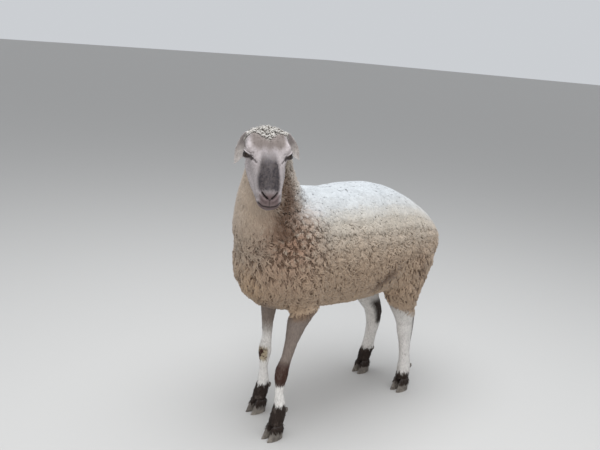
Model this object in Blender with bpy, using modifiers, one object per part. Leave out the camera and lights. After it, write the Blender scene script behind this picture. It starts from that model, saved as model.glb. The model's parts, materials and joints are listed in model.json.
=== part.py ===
"""A life-size standing ewe in a short curly fleece, made as a museum's still model.

Metres, +Z up.  The ewe faces -Y with her left side toward +X, and turns her head to her left.
The body is modelled whole, out to the tips of the coat, then parted with thin cuts into the
pieces that a person would name.  Ears, eyes, hooves and dewclaws are pieces of their own.
"""
import math

import bmesh
import bpy
from mathutils import Matrix, Vector

COLLECTION = "standing_ewe"

# ---- sizes of the whole animal -------------------------------------------------------------
GAP = 0.0003                 # between two pieces that touch
CUT = 0.0004                 # thickness of the cuts that part the body
SIDES = 28                   # points round a lofted section
FINE = 0.0065                # grid on which the masses are blended into one body
BODY_TRIANGLES = 4200

# ---- trunk: y, top, bottom, height of the widest place, half width ---------------------------
TRUNK = (
    (-0.396, 0.610, 0.500, 0.555, 0.050),
    (-0.380, 0.655, 0.450, 0.550, 0.088),
    (-0.342, 0.705, 0.414, 0.550, 0.120),
    (-0.280, 0.752, 0.392, 0.555, 0.143),
    (-0.200, 0.770, 0.380, 0.560, 0.156),
    (-0.100, 0.759, 0.372, 0.560, 0.166),
    (0.000, 0.765, 0.366, 0.555, 0.175),
    (0.100, 0.761, 0.368, 0.555, 0.178),
    (0.180, 0.744, 0.378, 0.560, 0.174),
    (0.260, 0.711, 0.398, 0.560, 0.163),
    (0.330, 0.672, 0.425, 0.555, 0.145),
    (0.380, 0.630, 0.450, 0.545, 0.116),
    (0.408, 0.592, 0.480, 0.535, 0.075),
)

SHOULDER = ((0.086, -0.228, 0.570), (0.073, 0.110, 0.160))      # place on the left, radii

# ---- neck: centre, half width, half depth ----------------------------------------------------
NECK = (
    ((0.000, -0.190, 0.500), 0.125, 0.155),
    ((0.000, -0.272, 0.605), 0.124, 0.150),
    ((0.002, -0.306, 0.690), 0.108, 0.130),
    ((0.008, -0.328, 0.765), 0.087, 0.102),
    ((0.018, -0.343, 0.830), 0.068, 0.076),
    ((0.038, -0.366, 0.885), 0.057, 0.064),
    ((0.066, -0.392, 0.925), 0.042, 0.046),
)

# ---- head, in its own frame: origin between the eyes, the nose toward -y ---------------------
HEAD_PLACE = (0.131, -0.451, 0.896)
HEAD_TURN = math.radians(56.5)
HEAD_DROOP = math.radians(46)
# y, height of the widest place, half width, above it, below it
SKULL = (
    (0.108, -0.038, 0.020, 0.016, 0.020),
    (0.098, -0.034, 0.040, 0.024, 0.032),
    (0.080, -0.022, 0.054, 0.031, 0.040),
    (0.052, -0.014, 0.060, 0.044, 0.046),
    (0.018, -0.008, 0.058, 0.047, 0.042),
    (-0.016, -0.006, 0.051, 0.044, 0.040),
    (-0.056, -0.010, 0.041, 0.043, 0.036),
    (-0.096, -0.016, 0.036, 0.038, 0.030),
    (-0.128, -0.022, 0.035, 0.030, 0.024),
    (-0.146, -0.028, 0.0290, 0.021, 0.018),
    (-0.158, -0.032, 0.0175, 0.011, 0.010),
)
JAW = (
    (0.074, -0.058, 0.026, 0.026, 0.020),
    (0.045, -0.062, 0.050, 0.040, 0.032),
    (0.005, -0.060, 0.057, 0.040, 0.033),
    (-0.040, -0.052, 0.052, 0.034, 0.028),
    (-0.080, -0.046, 0.043, 0.026, 0.021),
    (-0.112, -0.045, 0.0330, 0.018, 0.015),
    (-0.138, -0.046, 0.0240, 0.012, 0.011),
    (-0.150, -0.045, 0.0130, 0.006, 0.007),
)
BROW = ((0.0500, 0.010, 0.014), (0.0125, 0.0210, 0.0120))      # place on the left, radii
TOPKNOT = ((0.0, 0.055, 0.004), (0.056, 0.035, 0.025))
EYE_PLACE = (0.0520, -0.002, 0.0000)
EYE_RADIUS = 0.0135

# ---- ears: root on the left of the head, in the head's frame ---------------------------------
EAR_ROOT = (0.050, 0.060, 0.002)
EAR_LENGTH = 0.112
EAR_HALF_WIDTH = 0.020
EAR_HALF_THICKNESS = 0.0028
EAR_AIM = {                          # outward, back, down in the turned but level head frame
    1: (0.46, 0.52, -0.64),          # the left ear, held a little further out
    -1: (0.26, 0.50, -0.82),         # the right ear
}
EAR_FACING = (0.52, -0.72, -0.25)    # the way its hollow faces

# ---- legs: centre, half width, half depth, from the body down --------------------------------
FORELEG_LEFT = (
    ((0.090, -0.180, 0.510), 0.046, 0.075),
    ((0.088, -0.225, 0.430), 0.040, 0.050),
    ((0.084, -0.253, 0.360), 0.0270, 0.0335),
    ((0.082, -0.266, 0.310), 0.0215, 0.0205),
    ((0.081, -0.279, 0.262), 0.0172, 0.0180),
    ((0.080, -0.294, 0.225), 0.0185, 0.0200),
    ((0.080, -0.297, 0.190), 0.0165, 0.0180),
    ((0.080, -0.299, 0.150), 0.0132, 0.0145),
    ((0.080, -0.294, 0.110), 0.0180, 0.0200),
    ((0.080, -0.295, 0.080), 0.0195, 0.0200),
    ((0.080, -0.302, 0.055), 0.0220, 0.0220),
    ((0.080, -0.308, 0.040), 0.0225, 0.0225),
)
FORELEG_RIGHT = (
    ((-0.090, -0.180, 0.510), 0.046, 0.075),
    ((-0.088, -0.208, 0.430), 0.038, 0.046),
    ((-0.084, -0.219, 0.360), 0.0255, 0.0280),
    ((-0.082, -0.222, 0.310), 0.0210, 0.0190),
    ((-0.081, -0.221, 0.262), 0.0172, 0.0172),
    ((-0.080, -0.226, 0.225), 0.0185, 0.0195),
    ((-0.080, -0.227, 0.190), 0.0165, 0.0180),
    ((-0.080, -0.227, 0.150), 0.0135, 0.0150),
    ((-0.080, -0.224, 0.110), 0.0180, 0.0200),
    ((-0.080, -0.228, 0.080), 0.0195, 0.0200),
    ((-0.080, -0.236, 0.055), 0.0220, 0.0220),
    ((-0.080, -0.242, 0.040), 0.0225, 0.0225),
)
HINDLEG_LEFT = (
    ((0.088, 0.195, 0.590), 0.066, 0.112),
    ((0.098, 0.226, 0.520), 0.074, 0.126),
    ((0.101, 0.230, 0.465), 0.071, 0.114),
    ((0.101, 0.226, 0.430), 0.065, 0.096),
    ((0.099, 0.238, 0.360), 0.050, 0.066),
    ((0.095, 0.258, 0.305), 0.036, 0.046),
    ((0.092, 0.271, 0.264), 0.0265, 0.0375),
    ((0.092, 0.275, 0.228), 0.0240, 0.0350),
    ((0.092, 0.281, 0.192), 0.0200, 0.0265),
    ((0.092, 0.286, 0.150), 0.0180, 0.0225),
    ((0.092, 0.293, 0.110), 0.0200, 0.0235),
    ((0.092, 0.294, 0.080), 0.0200, 0.0215),
    ((0.092, 0.291, 0.055), 0.0220, 0.0220),
    ((0.092, 0.287, 0.040), 0.0225, 0.0225),
)
HINDLEG_RIGHT = (
    ((-0.088, 0.195, 0.590), 0.066, 0.112),
    ((-0.098, 0.226, 0.520), 0.074, 0.126),
    ((-0.101, 0.230, 0.465), 0.071, 0.114),
    ((-0.101, 0.228, 0.430), 0.063, 0.092),
    ((-0.099, 0.243, 0.360), 0.047, 0.062),
    ((-0.095, 0.273, 0.305), 0.035, 0.043),
    ((-0.092, 0.303, 0.264), 0.0275, 0.0380),
    ((-0.092, 0.317, 0.228), 0.0260, 0.0380),
    ((-0.092, 0.320, 0.188), 0.0225, 0.0320),
    ((-0.092, 0.312, 0.148), 0.0195, 0.0265),
    ((-0.092, 0.304, 0.110), 0.0205, 0.0255),
    ((-0.092, 0.295, 0.080), 0.0200, 0.0220),
    ((-0.092, 0.286, 0.055), 0.0220, 0.0220),
    ((-0.092, 0.281, 0.040), 0.0225, 0.0225),
)
LEGS = {
    "foreleg_left": FORELEG_LEFT,
    "foreleg_right": FORELEG_RIGHT,
    "hindleg_left": HINDLEG_LEFT,
    "hindleg_right": HINDLEG_RIGHT,
}

# ---- tail: a flat woolly lobe ----------------------------------------------------------------
TAIL = (
    ((0.000, 0.335, 0.630), 0.052, 0.034),
    ((0.000, 0.380, 0.590), 0.064, 0.038),
    ((0.000, 0.402, 0.540), 0.072, 0.037),
    ((0.000, 0.410, 0.485), 0.068, 0.034),
    ((0.000, 0.410, 0.435), 0.052, 0.028),
    ((0.000, 0.406, 0.403), 0.028, 0.016),
)

# ---- hooves: two claws and two dewclaws on each foot ------------------------------------------
CLAW_LENGTH = 0.062          # of the sole
CLAW_HALF_WIDTH = 0.0115
CLAW_TOP = 0.046             # the top of the horn, inside the foot
CLAW_SLOPE = 0.024           # how far the front wall leans back from sole to top
CLAW_SPREAD = 0.0128         # from the middle of the foot to the middle of a claw
CLAW_FORWARD = 0.008         # the sole's middle, ahead of the foot's last section
DEWCLAW = (0.0065, 0.0060, 0.0095)
DEWCLAW_SPREAD = 0.0110
DEWCLAW_LEVEL = 0.088

# ---- where the body is parted: centre, the way the cut faces, radius ------------------------
HEAD_CUT = ((0.0, 0.056, -0.0560), (0.0, 0.72, -0.69), 0.086)      # in the head's frame
NECK_CUT = ((0.0, -0.315, 0.672), (0.0, -0.716, 0.698), 0.215)
TAIL_CUT = ((0.0, 0.392, 0.520), (0.0, 0.995, 0.120), 0.134)
FORELEG_CUT = ((0.090, -0.228, 0.396), (0.56, -0.12, -0.83), 0.095)
HINDLEG_CUT = ((0.106, 0.231, 0.431), (0.50, 0.24, -0.82), 0.152)
KNEE_CUT_LEVEL = 0.197
HOCK_CUT_LEVEL = 0.205
FETLOCK_CUT_LEVEL = 0.126
LEG_CUT_RADIUS = 0.045

COLOURS = {
    "fleece": (0.62, 0.56, 0.46, 1.0),
    "face": (0.50, 0.44, 0.40, 1.0),
    "leg": (0.66, 0.62, 0.57, 1.0),
    "pastern": (0.055, 0.038, 0.030, 1.0),
    "horn": (0.120, 0.100, 0.085, 1.0),
    "eye": (0.020, 0.014, 0.010, 1.0),
}
ROUGHNESS = {"fleece": 0.95, "face": 0.85, "leg": 0.85, "pastern": 0.9, "horn": 0.5, "eye": 0.08}


# ---- scene helpers ---------------------------------------------------------------------------
def clear_scene():
    for obj in list(bpy.data.objects):
        bpy.data.objects.remove(obj, do_unlink=True)


def collection(name):
    found = bpy.data.collections.new(name)
    bpy.context.scene.collection.children.link(found)
    return found


def material(name):
    made = bpy.data.materials.new(name)
    made.use_nodes = True
    surface = made.node_tree.nodes["Principled BSDF"]
    surface.inputs["Base Color"].default_value = COLOURS[name]
    surface.inputs["Roughness"].default_value = ROUGHNESS[name]
    surface.inputs["Metallic"].default_value = 0.0
    return made


def mesh_object(name, mesh, home):
    obj = bpy.data.objects.new(name, mesh)
    home.objects.link(obj)
    return obj


def from_bmesh(name, bm, home):
    """A closed shape as an object, in flat triangles so that every cut through it is exact."""
    bmesh.ops.recalc_face_normals(bm, faces=bm.faces)
    bmesh.ops.triangulate(bm, faces=bm.faces)
    mesh = bpy.data.meshes.new(name)
    bm.to_mesh(mesh)
    bm.free()
    return mesh_object(name, mesh, home)


def baked(obj):
    """Put the object's modifiers into its mesh."""
    graph = bpy.context.evaluated_depsgraph_get()
    mesh = bpy.data.meshes.new_from_object(obj.evaluated_get(graph))
    obj.modifiers.clear()
    obj.data = mesh
    return obj


def boolean(obj, tool, operation):
    step = obj.modifiers.new(operation.lower(), "BOOLEAN")
    step.operation = operation
    step.object = tool
    step.solver = "EXACT"
    return baked(obj)


# ---- shapes ----------------------------------------------------------------------------------
def section(centre, across, upward, half_width, above, below):
    """One closed section: an ellipse whose upper and lower halves differ in height."""
    points = []
    for i in range(SIDES):
        angle = 2 * math.pi * i / SIDES
        height = above if math.sin(angle) >= 0 else below
        points.append(centre + across * half_width * math.cos(angle)
                      + upward * height * math.sin(angle))
    return points


def loft(name, sections, home, place=None):
    """Join the sections with quads and close both ends."""
    bm = bmesh.new()
    rings = [[bm.verts.new(point) for point in points] for points in sections]
    for near, far in zip(rings, rings[1:]):
        for i in range(len(near)):
            j = (i + 1) % len(near)
            bm.faces.new((near[i], near[j], far[j], far[i]))
    bm.faces.new(rings[0])
    bm.faces.new(rings[-1])
    if place:
        bmesh.ops.transform(bm, matrix=place, verts=bm.verts)
    return from_bmesh(name, bm, home)


def limb(name, stations, home, sideways=Vector((1, 0, 0))):
    """A tube through the stations; each section stands square to the line of centres."""
    centres = [Vector(centre) for centre, _, _ in stations]
    sections = []
    for i, (_, half_width, half_depth) in enumerate(stations):
        along = centres[min(i + 1, len(centres) - 1)] - centres[max(i - 1, 0)]
        forward = along.cross(sideways).normalized()
        across = forward.cross(along).normalized()
        sections.append(section(centres[i], across, forward, half_width, half_depth, half_depth))
    return loft(name, sections, home)


def long_form(name, stations, home, place=None):
    """A form along y with upright sections: y, widest height, half width, above, below."""
    sections = [section(Vector((0, y, level)), Vector((1, 0, 0)), Vector((0, 0, 1)), half_width, above, below)
                for y, level, half_width, above, below in stations]
    return loft(name, sections, home, place)


def ellipsoid(name, centre, radii, home, place=Matrix()):
    bm = bmesh.new()
    shape = place @ Matrix.Translation(centre) @ Matrix.Diagonal((*radii, 1.0))
    bmesh.ops.create_uvsphere(bm, u_segments=20, v_segments=12, radius=1.0, matrix=shape)
    return from_bmesh(name, bm, home)


def joined(objects, name):
    bm = bmesh.new()
    home = objects[0].users_collection[0]
    for obj in objects:
        bm.from_mesh(obj.data)
        bpy.data.objects.remove(obj, do_unlink=True)
    mesh = bpy.data.meshes.new(name)
    bm.to_mesh(mesh)
    bm.free()
    return mesh_object(name, mesh, home)


def head_frame():
    turn = Matrix.Rotation(HEAD_TURN, 4, "Z")
    droop = Matrix.Rotation(HEAD_DROOP, 4, "X")
    return Matrix.Translation(HEAD_PLACE) @ turn @ droop


def on_side(point, side):
    """Mirror a point given on the left to the side wanted: +1 is left, -1 is right."""
    return Vector((point[0] * side, point[1], point[2]))


# ---- the body --------------------------------------------------------------------------------
def trunk_form(home):
    stations = [(y, level, half_width, top - level, level - bottom)
                for y, top, bottom, level, half_width in TRUNK]
    return long_form("trunk_form", stations, home)


def head_form(home):
    place = head_frame()
    forms = [
        long_form("skull_form", SKULL, home, place),
        long_form("jaw_form", JAW, home, place),
        ellipsoid("topknot_form", *TOPKNOT, home, place),
    ]
    for side in (1, -1):
        forms.append(ellipsoid("brow_form", on_side(BROW[0], side), BROW[1], home, place))
    return forms


def whole_body(home):
    """All masses blended into one closed surface."""
    forms = [trunk_form(home), limb("neck_form", NECK, home), limb("tail_form", TAIL, home)]
    forms += head_form(home)
    for side in (1, -1):
        forms.append(ellipsoid("shoulder_form", on_side(SHOULDER[0], side), SHOULDER[1], home))
    forms += [limb(name, stations, home) for name, stations in LEGS.items()]
    body = joined(forms, "body")
    grid = body.modifiers.new("blend", "REMESH")
    grid.mode = "VOXEL"
    grid.voxel_size = FINE
    ease = body.modifiers.new("ease", "SMOOTH")
    ease.factor = 0.5
    ease.iterations = 5
    baked(body)
    body.data.polygons.foreach_set("use_smooth", [False] * len(body.data.polygons))
    thin = body.modifiers.new("thin", "DECIMATE")
    thin.ratio = BODY_TRIANGLES / (2 * len(body.data.polygons))
    thin.use_collapse_triangulate = True
    return baked(body)


def plate(name, centre, facing, radius, home, place=Matrix()):
    """A thin round cutter across the body."""
    tilt = Vector(facing).to_track_quat("Z", "Y").to_matrix().to_4x4()
    bm = bmesh.new()
    bmesh.ops.create_cone(bm, cap_ends=True, segments=24, radius1=radius, radius2=radius, depth=CUT,
                          matrix=place @ Matrix.Translation(centre) @ tilt)
    cutter = from_bmesh(name, bm, home)
    cutter.hide_render = True
    cutter.display_type = "WIRE"
    return cutter


def at_level(stations, level):
    """The point of a leg's centre line at one height, and the line's direction there."""
    for (upper, _, _), (lower, _, _) in zip(stations, stations[1:]):
        if upper[2] >= level >= lower[2]:
            along = Vector(lower) - Vector(upper)
            share = (upper[2] - level) / (upper[2] - lower[2])
            return Vector(upper) + along * share, along.normalized()
    raise ValueError(level)


def cuts(home):
    """The piece that each cut frees and its plate, from the tips of the body inward."""
    made = [
        ("head", plate("cut_head", *HEAD_CUT, home, head_frame())),
        ("neck", plate("cut_neck", *NECK_CUT, home)),
        ("tail", plate("cut_tail", *TAIL_CUT, home)),
    ]
    for name, stations in LEGS.items():
        side = 1 if name.endswith("left") else -1
        fore = name.startswith("fore")
        below_joint = KNEE_CUT_LEVEL if fore else HOCK_CUT_LEVEL
        for level, freed in ((FETLOCK_CUT_LEVEL, "pastern"), (below_joint, "cannon")):
            point, along = at_level(stations, level)
            made.append((f"{name}_{freed}", plate(f"cut_{name}_{freed}", point, along, LEG_CUT_RADIUS, home)))
        centre, facing, radius = FORELEG_CUT if fore else HINDLEG_CUT
        freed = f"{name}_{'forearm' if fore else 'thigh'}"
        cutter = plate(f"cut_{freed}", on_side(centre, side), on_side(facing, side), radius, home)
        made.append((freed, cutter))
    return made


def loose_meshes(obj):
    """The separate closed shells of an object, each as a bmesh."""
    whole = bmesh.new()
    whole.from_mesh(obj.data)
    left = set(whole.verts)
    shells = []
    while left:
        shell = {left.pop()}
        front = list(shell)
        while front:
            for edge in front.pop().link_edges:
                for vert in edge.verts:
                    if vert in left:
                        left.remove(vert)
                        shell.add(vert)
                        front.append(vert)
        shells.append(shell)
    meshes = []
    for shell in shells:
        copy = whole.copy()
        copy.verts.ensure_lookup_table()
        keep = {vert.index for vert in shell}
        bmesh.ops.delete(copy, geom=[v for v in copy.verts if v.index not in keep], context="VERTS")
        meshes.append(copy)
    whole.free()
    return meshes


def part_body(body, home, cutter_home):
    """Free one piece with each cut; what is left at the end is the trunk."""
    pieces = []
    for name, cutter in cuts(cutter_home):
        boolean(body, cutter, "DIFFERENCE")
        shells = sorted(loose_meshes(body), key=lambda shell: shell.calc_volume())
        if len(shells) != 2:
            raise ValueError(f"the cut for {name} made {len(shells)} pieces")
        freed = bpy.data.meshes.new(name)
        for shell, mesh in zip(shells, (freed, body.data)):
            shell.to_mesh(mesh)
            shell.free()
        pieces.append(mesh_object(name, freed, home))
    body.name = "trunk"
    return pieces + [body]


# ---- ears, eyes, hooves ----------------------------------------------------------------------
def ear_section(place, half_width, half_thickness, curl):
    """A thin strip bent to an arc: its hollow side faces +z of its own frame."""
    steps = 6
    outer, inner = [], []
    for i in range(steps + 1):
        share = 2 * i / steps - 1
        angle = share * curl
        across = half_width * math.sin(angle) / math.sin(curl)
        depth = half_width * (math.cos(curl) - math.cos(angle)) / math.sin(curl)
        thick = half_thickness * (1 - 0.55 * share * share)
        lean = Vector((-math.sin(angle), 0, math.cos(angle)))
        point = Vector((across, 0, depth))
        outer.append(place @ (point - lean * thick))
        inner.append(place @ (point + lean * thick))
    return outer + inner[::-1]


def ear(name, side, home):
    turned = Matrix.Translation(HEAD_PLACE) @ Matrix.Rotation(HEAD_TURN, 4, "Z")
    root = head_frame() @ on_side(EAR_ROOT, side)
    aim = (turned.to_3x3() @ on_side(EAR_AIM[side], side)).normalized()
    facing = turned.to_3x3() @ on_side(EAR_FACING, side)
    facing = (facing - aim * facing.dot(aim)).normalized()
    across = aim.cross(facing)
    sections = []
    steps = 9
    for i in range(steps + 1):
        share = i / steps
        leaf = math.sin(math.pi * (0.20 + 0.78 * share) ** 1.1)
        half_width = EAR_HALF_WIDTH * max(0.14, leaf)
        half_thickness = EAR_HALF_THICKNESS * (1.5 - 0.9 * share)
        curl = math.radians(78 - 48 * share)
        centre = root + aim * EAR_LENGTH * share
        place = Matrix((
            (across.x, aim.x, facing.x, centre.x),
            (across.y, aim.y, facing.y, centre.y),
            (across.z, aim.z, facing.z, centre.z),
            (0, 0, 0, 1),
        ))
        sections.append(ear_section(place, half_width, half_thickness, curl))
    return loft(name, sections, home)


def eye(name, side, home, radius=EYE_RADIUS):
    centre = head_frame() @ on_side(EYE_PLACE, side)
    bm = bmesh.new()
    bmesh.ops.create_uvsphere(bm, u_segments=14, v_segments=9, radius=radius,
                              matrix=Matrix.Translation(centre))
    return from_bmesh(name, bm, home)


def claw_section(level, share, x_middle, y_middle, inward):
    """A level section of one claw: pointed at the toe, flat on the side of the cleft."""
    half_length = CLAW_LENGTH / 2 - CLAW_SLOPE * share / 2
    y_centre = y_middle + CLAW_SLOPE * share / 2
    half_width = CLAW_HALF_WIDTH * (1.0 - 0.10 * share)
    points = []
    steps = 12
    for i in range(steps):
        angle = 2 * math.pi * i / steps
        forward = math.cos(angle)
        sideways = math.sin(angle)
        narrow = 1.0 - 0.35 * max(0.0, forward) ** 2
        flat = 0.80 if sideways * inward > 0 else 1.0
        points.append(Vector((
            x_middle + half_width * narrow * flat * sideways,
            y_centre - half_length * forward,
            level,
        )))
    return points


def claw(name, foot, side, home):
    x_middle = foot[0] + side * CLAW_SPREAD
    y_middle = foot[1] - CLAW_FORWARD
    levels = (0.0, 0.4 * CLAW_TOP, CLAW_TOP)
    sections = [claw_section(level, level / CLAW_TOP, x_middle, y_middle, -side) for level in levels]
    return loft(name, sections, home)


def dewclaw(name, stations, side, home):
    point, _ = at_level(stations, DEWCLAW_LEVEL)
    half_depth = stations[-3][2]
    centre = point + Vector((side * DEWCLAW_SPREAD, half_depth, 0))
    bm = bmesh.new()
    shape = Matrix.Translation(centre) @ Matrix.Rotation(math.radians(-20), 4, "X")
    bmesh.ops.create_uvsphere(bm, u_segments=8, v_segments=5, radius=1.0,
                              matrix=shape @ Matrix.Diagonal((*DEWCLAW, 1.0)))
    return from_bmesh(name, bm, home)


def swollen(body, home):
    """The body grown by the gap, to trim what grows from it."""
    tool = mesh_object("trimmer", body.data.copy(), home)
    grow = tool.modifiers.new("grow", "DISPLACE")
    grow.strength = GAP
    grow.mid_level = 0.0
    tool.hide_render = True
    tool.display_type = "WIRE"
    return baked(tool)


def attached_pieces(body, home, cutter_home):
    """Ears, claws and dewclaws, each trimmed to the body's surface."""
    tool = swollen(body, cutter_home)
    pieces = [ear(f"ear_{word}", side, home) for word, side in (("left", 1), ("right", -1))]
    for name, stations in LEGS.items():
        leg_side = 1 if name.endswith("left") else -1
        for word, side in (("outer", leg_side), ("inner", -leg_side)):
            pieces.append(claw(f"{name}_claw_{word}", stations[-1][0], side, home))
            pieces.append(dewclaw(f"{name}_dewclaw_{word}", stations, side, home))
    for piece in pieces:
        boolean(piece, tool, "DIFFERENCE")
    return pieces


def eyes_in_sockets(body, home, cutter_home):
    made = []
    for word, side in (("left", 1), ("right", -1)):
        socket = eye(f"socket_{word}", side, cutter_home, EYE_RADIUS + GAP)
        socket.hide_render = True
        socket.display_type = "WIRE"
        boolean(body, socket, "DIFFERENCE")
        made.append(eye(f"eye_{word}", side, home))
    return made


# ---- finish ----------------------------------------------------------------------------------
def finish_of(name):
    """The material that a piece wears, from its name."""
    if "claw" in name:
        return "horn"
    if name.endswith("pastern"):
        return "pastern"
    if name.endswith("cannon") or name.endswith("forearm"):
        return "leg"
    if name.startswith("eye"):
        return "eye"
    if name.startswith("ear") or name == "head":
        return "face"
    return "fleece"


def set_origin_below_middle(pieces):
    """Shift everything so that the origin is under the middle of the whole ewe's box."""
    corners = [v.co for piece in pieces for v in piece.data.vertices]
    low = Vector(min(c[i] for c in corners) for i in range(3))
    high = Vector(max(c[i] for c in corners) for i in range(3))
    shift = Vector((-(low.x + high.x) / 2, -(low.y + high.y) / 2, -low.z))
    for piece in pieces:
        piece.data.transform(Matrix.Translation(shift))
    return shift


def main():
    clear_scene()
    ewe = collection(COLLECTION)
    cutting = collection("cutters")
    body = whole_body(ewe)
    pieces = attached_pieces(body, ewe, cutting)
    pieces += eyes_in_sockets(body, ewe, cutting)
    pieces += part_body(body, ewe, cutting)
    materials = {name: material(name) for name in COLOURS}
    for piece in pieces:
        piece.data.materials.clear()
        piece.data.materials.append(materials[finish_of(piece.name)])
    return set_origin_below_middle(pieces)


if __name__ == "__main__":
    main()
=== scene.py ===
"""The looks of a standing ewe: one skin, a short curly fleece, hair, eyes and hooves.

Metres, +Z up; the ewe faces -Y with her left side toward +X and her head turned to her left.
The skin and the fleece are worked out from the solid body; each operator finishes one group.
"""
import json
import math

import bmesh
import bpy
import numpy as np
from bpy.props import FloatProperty, FloatVectorProperty, IntProperty, PointerProperty
from mathutils import Matrix, Vector
from mathutils.bvhtree import BVHTree
from mathutils.kdtree import KDTree

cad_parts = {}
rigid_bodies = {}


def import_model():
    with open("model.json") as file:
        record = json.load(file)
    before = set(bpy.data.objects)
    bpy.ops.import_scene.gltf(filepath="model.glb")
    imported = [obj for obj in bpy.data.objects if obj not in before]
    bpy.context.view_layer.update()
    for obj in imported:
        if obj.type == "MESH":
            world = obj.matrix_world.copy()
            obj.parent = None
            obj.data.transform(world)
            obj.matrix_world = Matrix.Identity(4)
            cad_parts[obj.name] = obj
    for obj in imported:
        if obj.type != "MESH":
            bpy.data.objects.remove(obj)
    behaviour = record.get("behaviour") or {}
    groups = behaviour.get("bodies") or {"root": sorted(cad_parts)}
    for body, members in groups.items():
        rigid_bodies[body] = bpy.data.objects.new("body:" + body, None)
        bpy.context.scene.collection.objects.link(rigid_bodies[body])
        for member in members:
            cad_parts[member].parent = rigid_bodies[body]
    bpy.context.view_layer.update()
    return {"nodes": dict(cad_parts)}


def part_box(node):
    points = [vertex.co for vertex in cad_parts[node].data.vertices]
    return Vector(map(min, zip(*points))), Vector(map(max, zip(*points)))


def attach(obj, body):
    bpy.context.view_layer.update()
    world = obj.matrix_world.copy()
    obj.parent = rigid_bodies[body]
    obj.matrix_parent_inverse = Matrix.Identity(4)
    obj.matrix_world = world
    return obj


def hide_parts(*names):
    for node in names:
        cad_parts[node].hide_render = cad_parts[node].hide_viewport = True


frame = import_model()

bl_info = {
    "name": "Standing ewe",
    "version": (1, 0, 0),
    "blender": (4, 5, 0),
    "location": "3D View > Sidebar > Ewe",
    "description": "Builds the skin, fleece, hair, eyes and hooves of a standing ewe",
    "category": "Object",
}

FLESH = [name for name in frame["nodes"] if "claw" not in name and not name.startswith("eye")]
HORN = [name for name in frame["nodes"] if "claw" in name]
SIDES = {"left": 1, "right": -1}
BODY_MIDDLE = -0.02                    # x of the plane that parts the left legs from the right


# ---- the head's own frame: origin between the eyes, nose toward -y, forehead toward +z ----
HEAD_TURN = math.radians(56.5)
HEAD_DROOP = math.radians(46)
EYES_BEHIND_ORIGIN = -0.002                   # along the head's own y
FACE_UP = np.array((0.0, 0.813, 0.582))       # up along the face plane, in the head's frame
EYE_AXIS = np.array((0.85, -0.30, 0.43))      # out of the left eye
EYE_SLANT = np.array((-0.44, -0.81, 0.38))    # toward the inner corner of the left eye


def colour_prop(name, value, description):
    return FloatVectorProperty(name=name, description=description, subtype="COLOR", size=3,
                               min=0.0, max=1.0, default=value)


def length_prop(name, value, description):
    return FloatProperty(name=name, description=description, unit="LENGTH", min=0.0, default=value)


class SkinSettings(bpy.types.PropertyGroup):
    grid: length_prop("Grid", 0.003, "Cell size on which the body's pieces are joined")
    hair_depth: length_prop("Hair depth", 0.0016, "Depth of the short hair on face and legs")
    face: colour_prop("Face", (0.44, 0.395, 0.395), "Cheeks, brows and ears")
    ear: colour_prop("Ear", (0.62, 0.575, 0.55), "Pale hair of the ears")
    brow: colour_prop("Forehead", (0.172, 0.143, 0.130), "Short hair below the topknot")
    stain: colour_prop("Stain", (0.36, 0.27, 0.12), "Yellow stain on the right knee")
    stripe: colour_prop("Nose stripe", (0.034, 0.028, 0.032), "The band down the nose")
    muzzle: colour_prop("Muzzle", (0.118, 0.080, 0.080), "Bare skin of the lips and nose")
    # Dark skin of the lid rims, with painted shade in the nostrils, the mouth and the grooves of the face.
    dark_skin_and_shade: colour_prop("Dark skin", (0.024, 0.016, 0.015), "Lid rims, nostrils, tear grooves")
    shank: colour_prop("Shank", (0.78, 0.755, 0.725), "White hair of the lower legs")
    forearm: colour_prop("Forearm", (0.225, 0.182, 0.157), "Greyish hair above the knees")
    knee: colour_prop("Knee", (0.050, 0.021, 0.014), "Stained hair of the knees")
    pastern: colour_prop("Pastern", (0.027, 0.018, 0.014), "Dark hair above the hooves")


class FleeceSettings(bpy.types.PropertyGroup):
    depth: length_prop("Depth", 0.020, "From the skin to the tips on the trunk")
    spacing: length_prop("Spacing", 0.0037, "Distance between two locks")
    width: FloatProperty(name="Lock width", description="Width of the locks, as a share of normal",
                         min=0.1, default=1.0)
    # The back's white wool, tinted blue as a painted reflection of the sky.
    white: colour_prop("White", (0.46, 0.48, 0.495), "Wool of the back")
    cream: colour_prop("Cream", (0.435, 0.395, 0.338), "Wool of the upper flank")
    tan: colour_prop("Tan", (0.45, 0.333, 0.238), "Wool of the lower flank and chest")
    ochre: colour_prop("Ochre", (0.49, 0.345, 0.222), "Belly, brisket and thigh ends")
    russet: colour_prop("Russet", (0.34, 0.205, 0.138), "The shoulder and side of the neck")
    # Painted shade: the colour of the fleece's depth, laid toward the locks' roots, in the cracks between
    # clumps, on the skin under tan wool and in the wool's folds.
    root: colour_prop("Root", (0.105, 0.056, 0.033), "The depth of the fleece between locks")
    seed: IntProperty(name="Seed", description="Start of the random draws", default=7)


class HairSettings(bpy.types.PropertyGroup):
    spacing: length_prop("Spacing", 0.0035, "Distance between two tufts of short hair")
    length: length_prop("Length", 0.0085, "Length of a tuft of short hair")
    seed: IntProperty(name="Seed", description="Start of the random draws", default=11)


class EyeSettings(bpy.types.PropertyGroup):
    iris: colour_prop("Iris", (0.022, 0.013, 0.008), "Brown of the iris")
    white: colour_prop("White", (0.045, 0.030, 0.024), "Edge of the eyeball")


class HoofSettings(bpy.types.PropertyGroup):
    horn: colour_prop("Horn", (0.105, 0.090, 0.078), "Hoof horn")
    dust: colour_prop("Dust", (0.30, 0.265, 0.225), "Dried mud toward the sole")


class StageSettings(bpy.types.PropertyGroup):
    floor: colour_prop("Floor", (0.50, 0.49, 0.475), "The plain floor")
    lens: FloatProperty(name="Lens", description="Focal length, mm", default=43.2)


GROUPS = {
    "ewe_skin": SkinSettings, "ewe_fleece": FleeceSettings, "ewe_hair": HairSettings,
    "ewe_eyes": EyeSettings, "ewe_hooves": HoofSettings, "ewe_stage": StageSettings,
}


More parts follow.
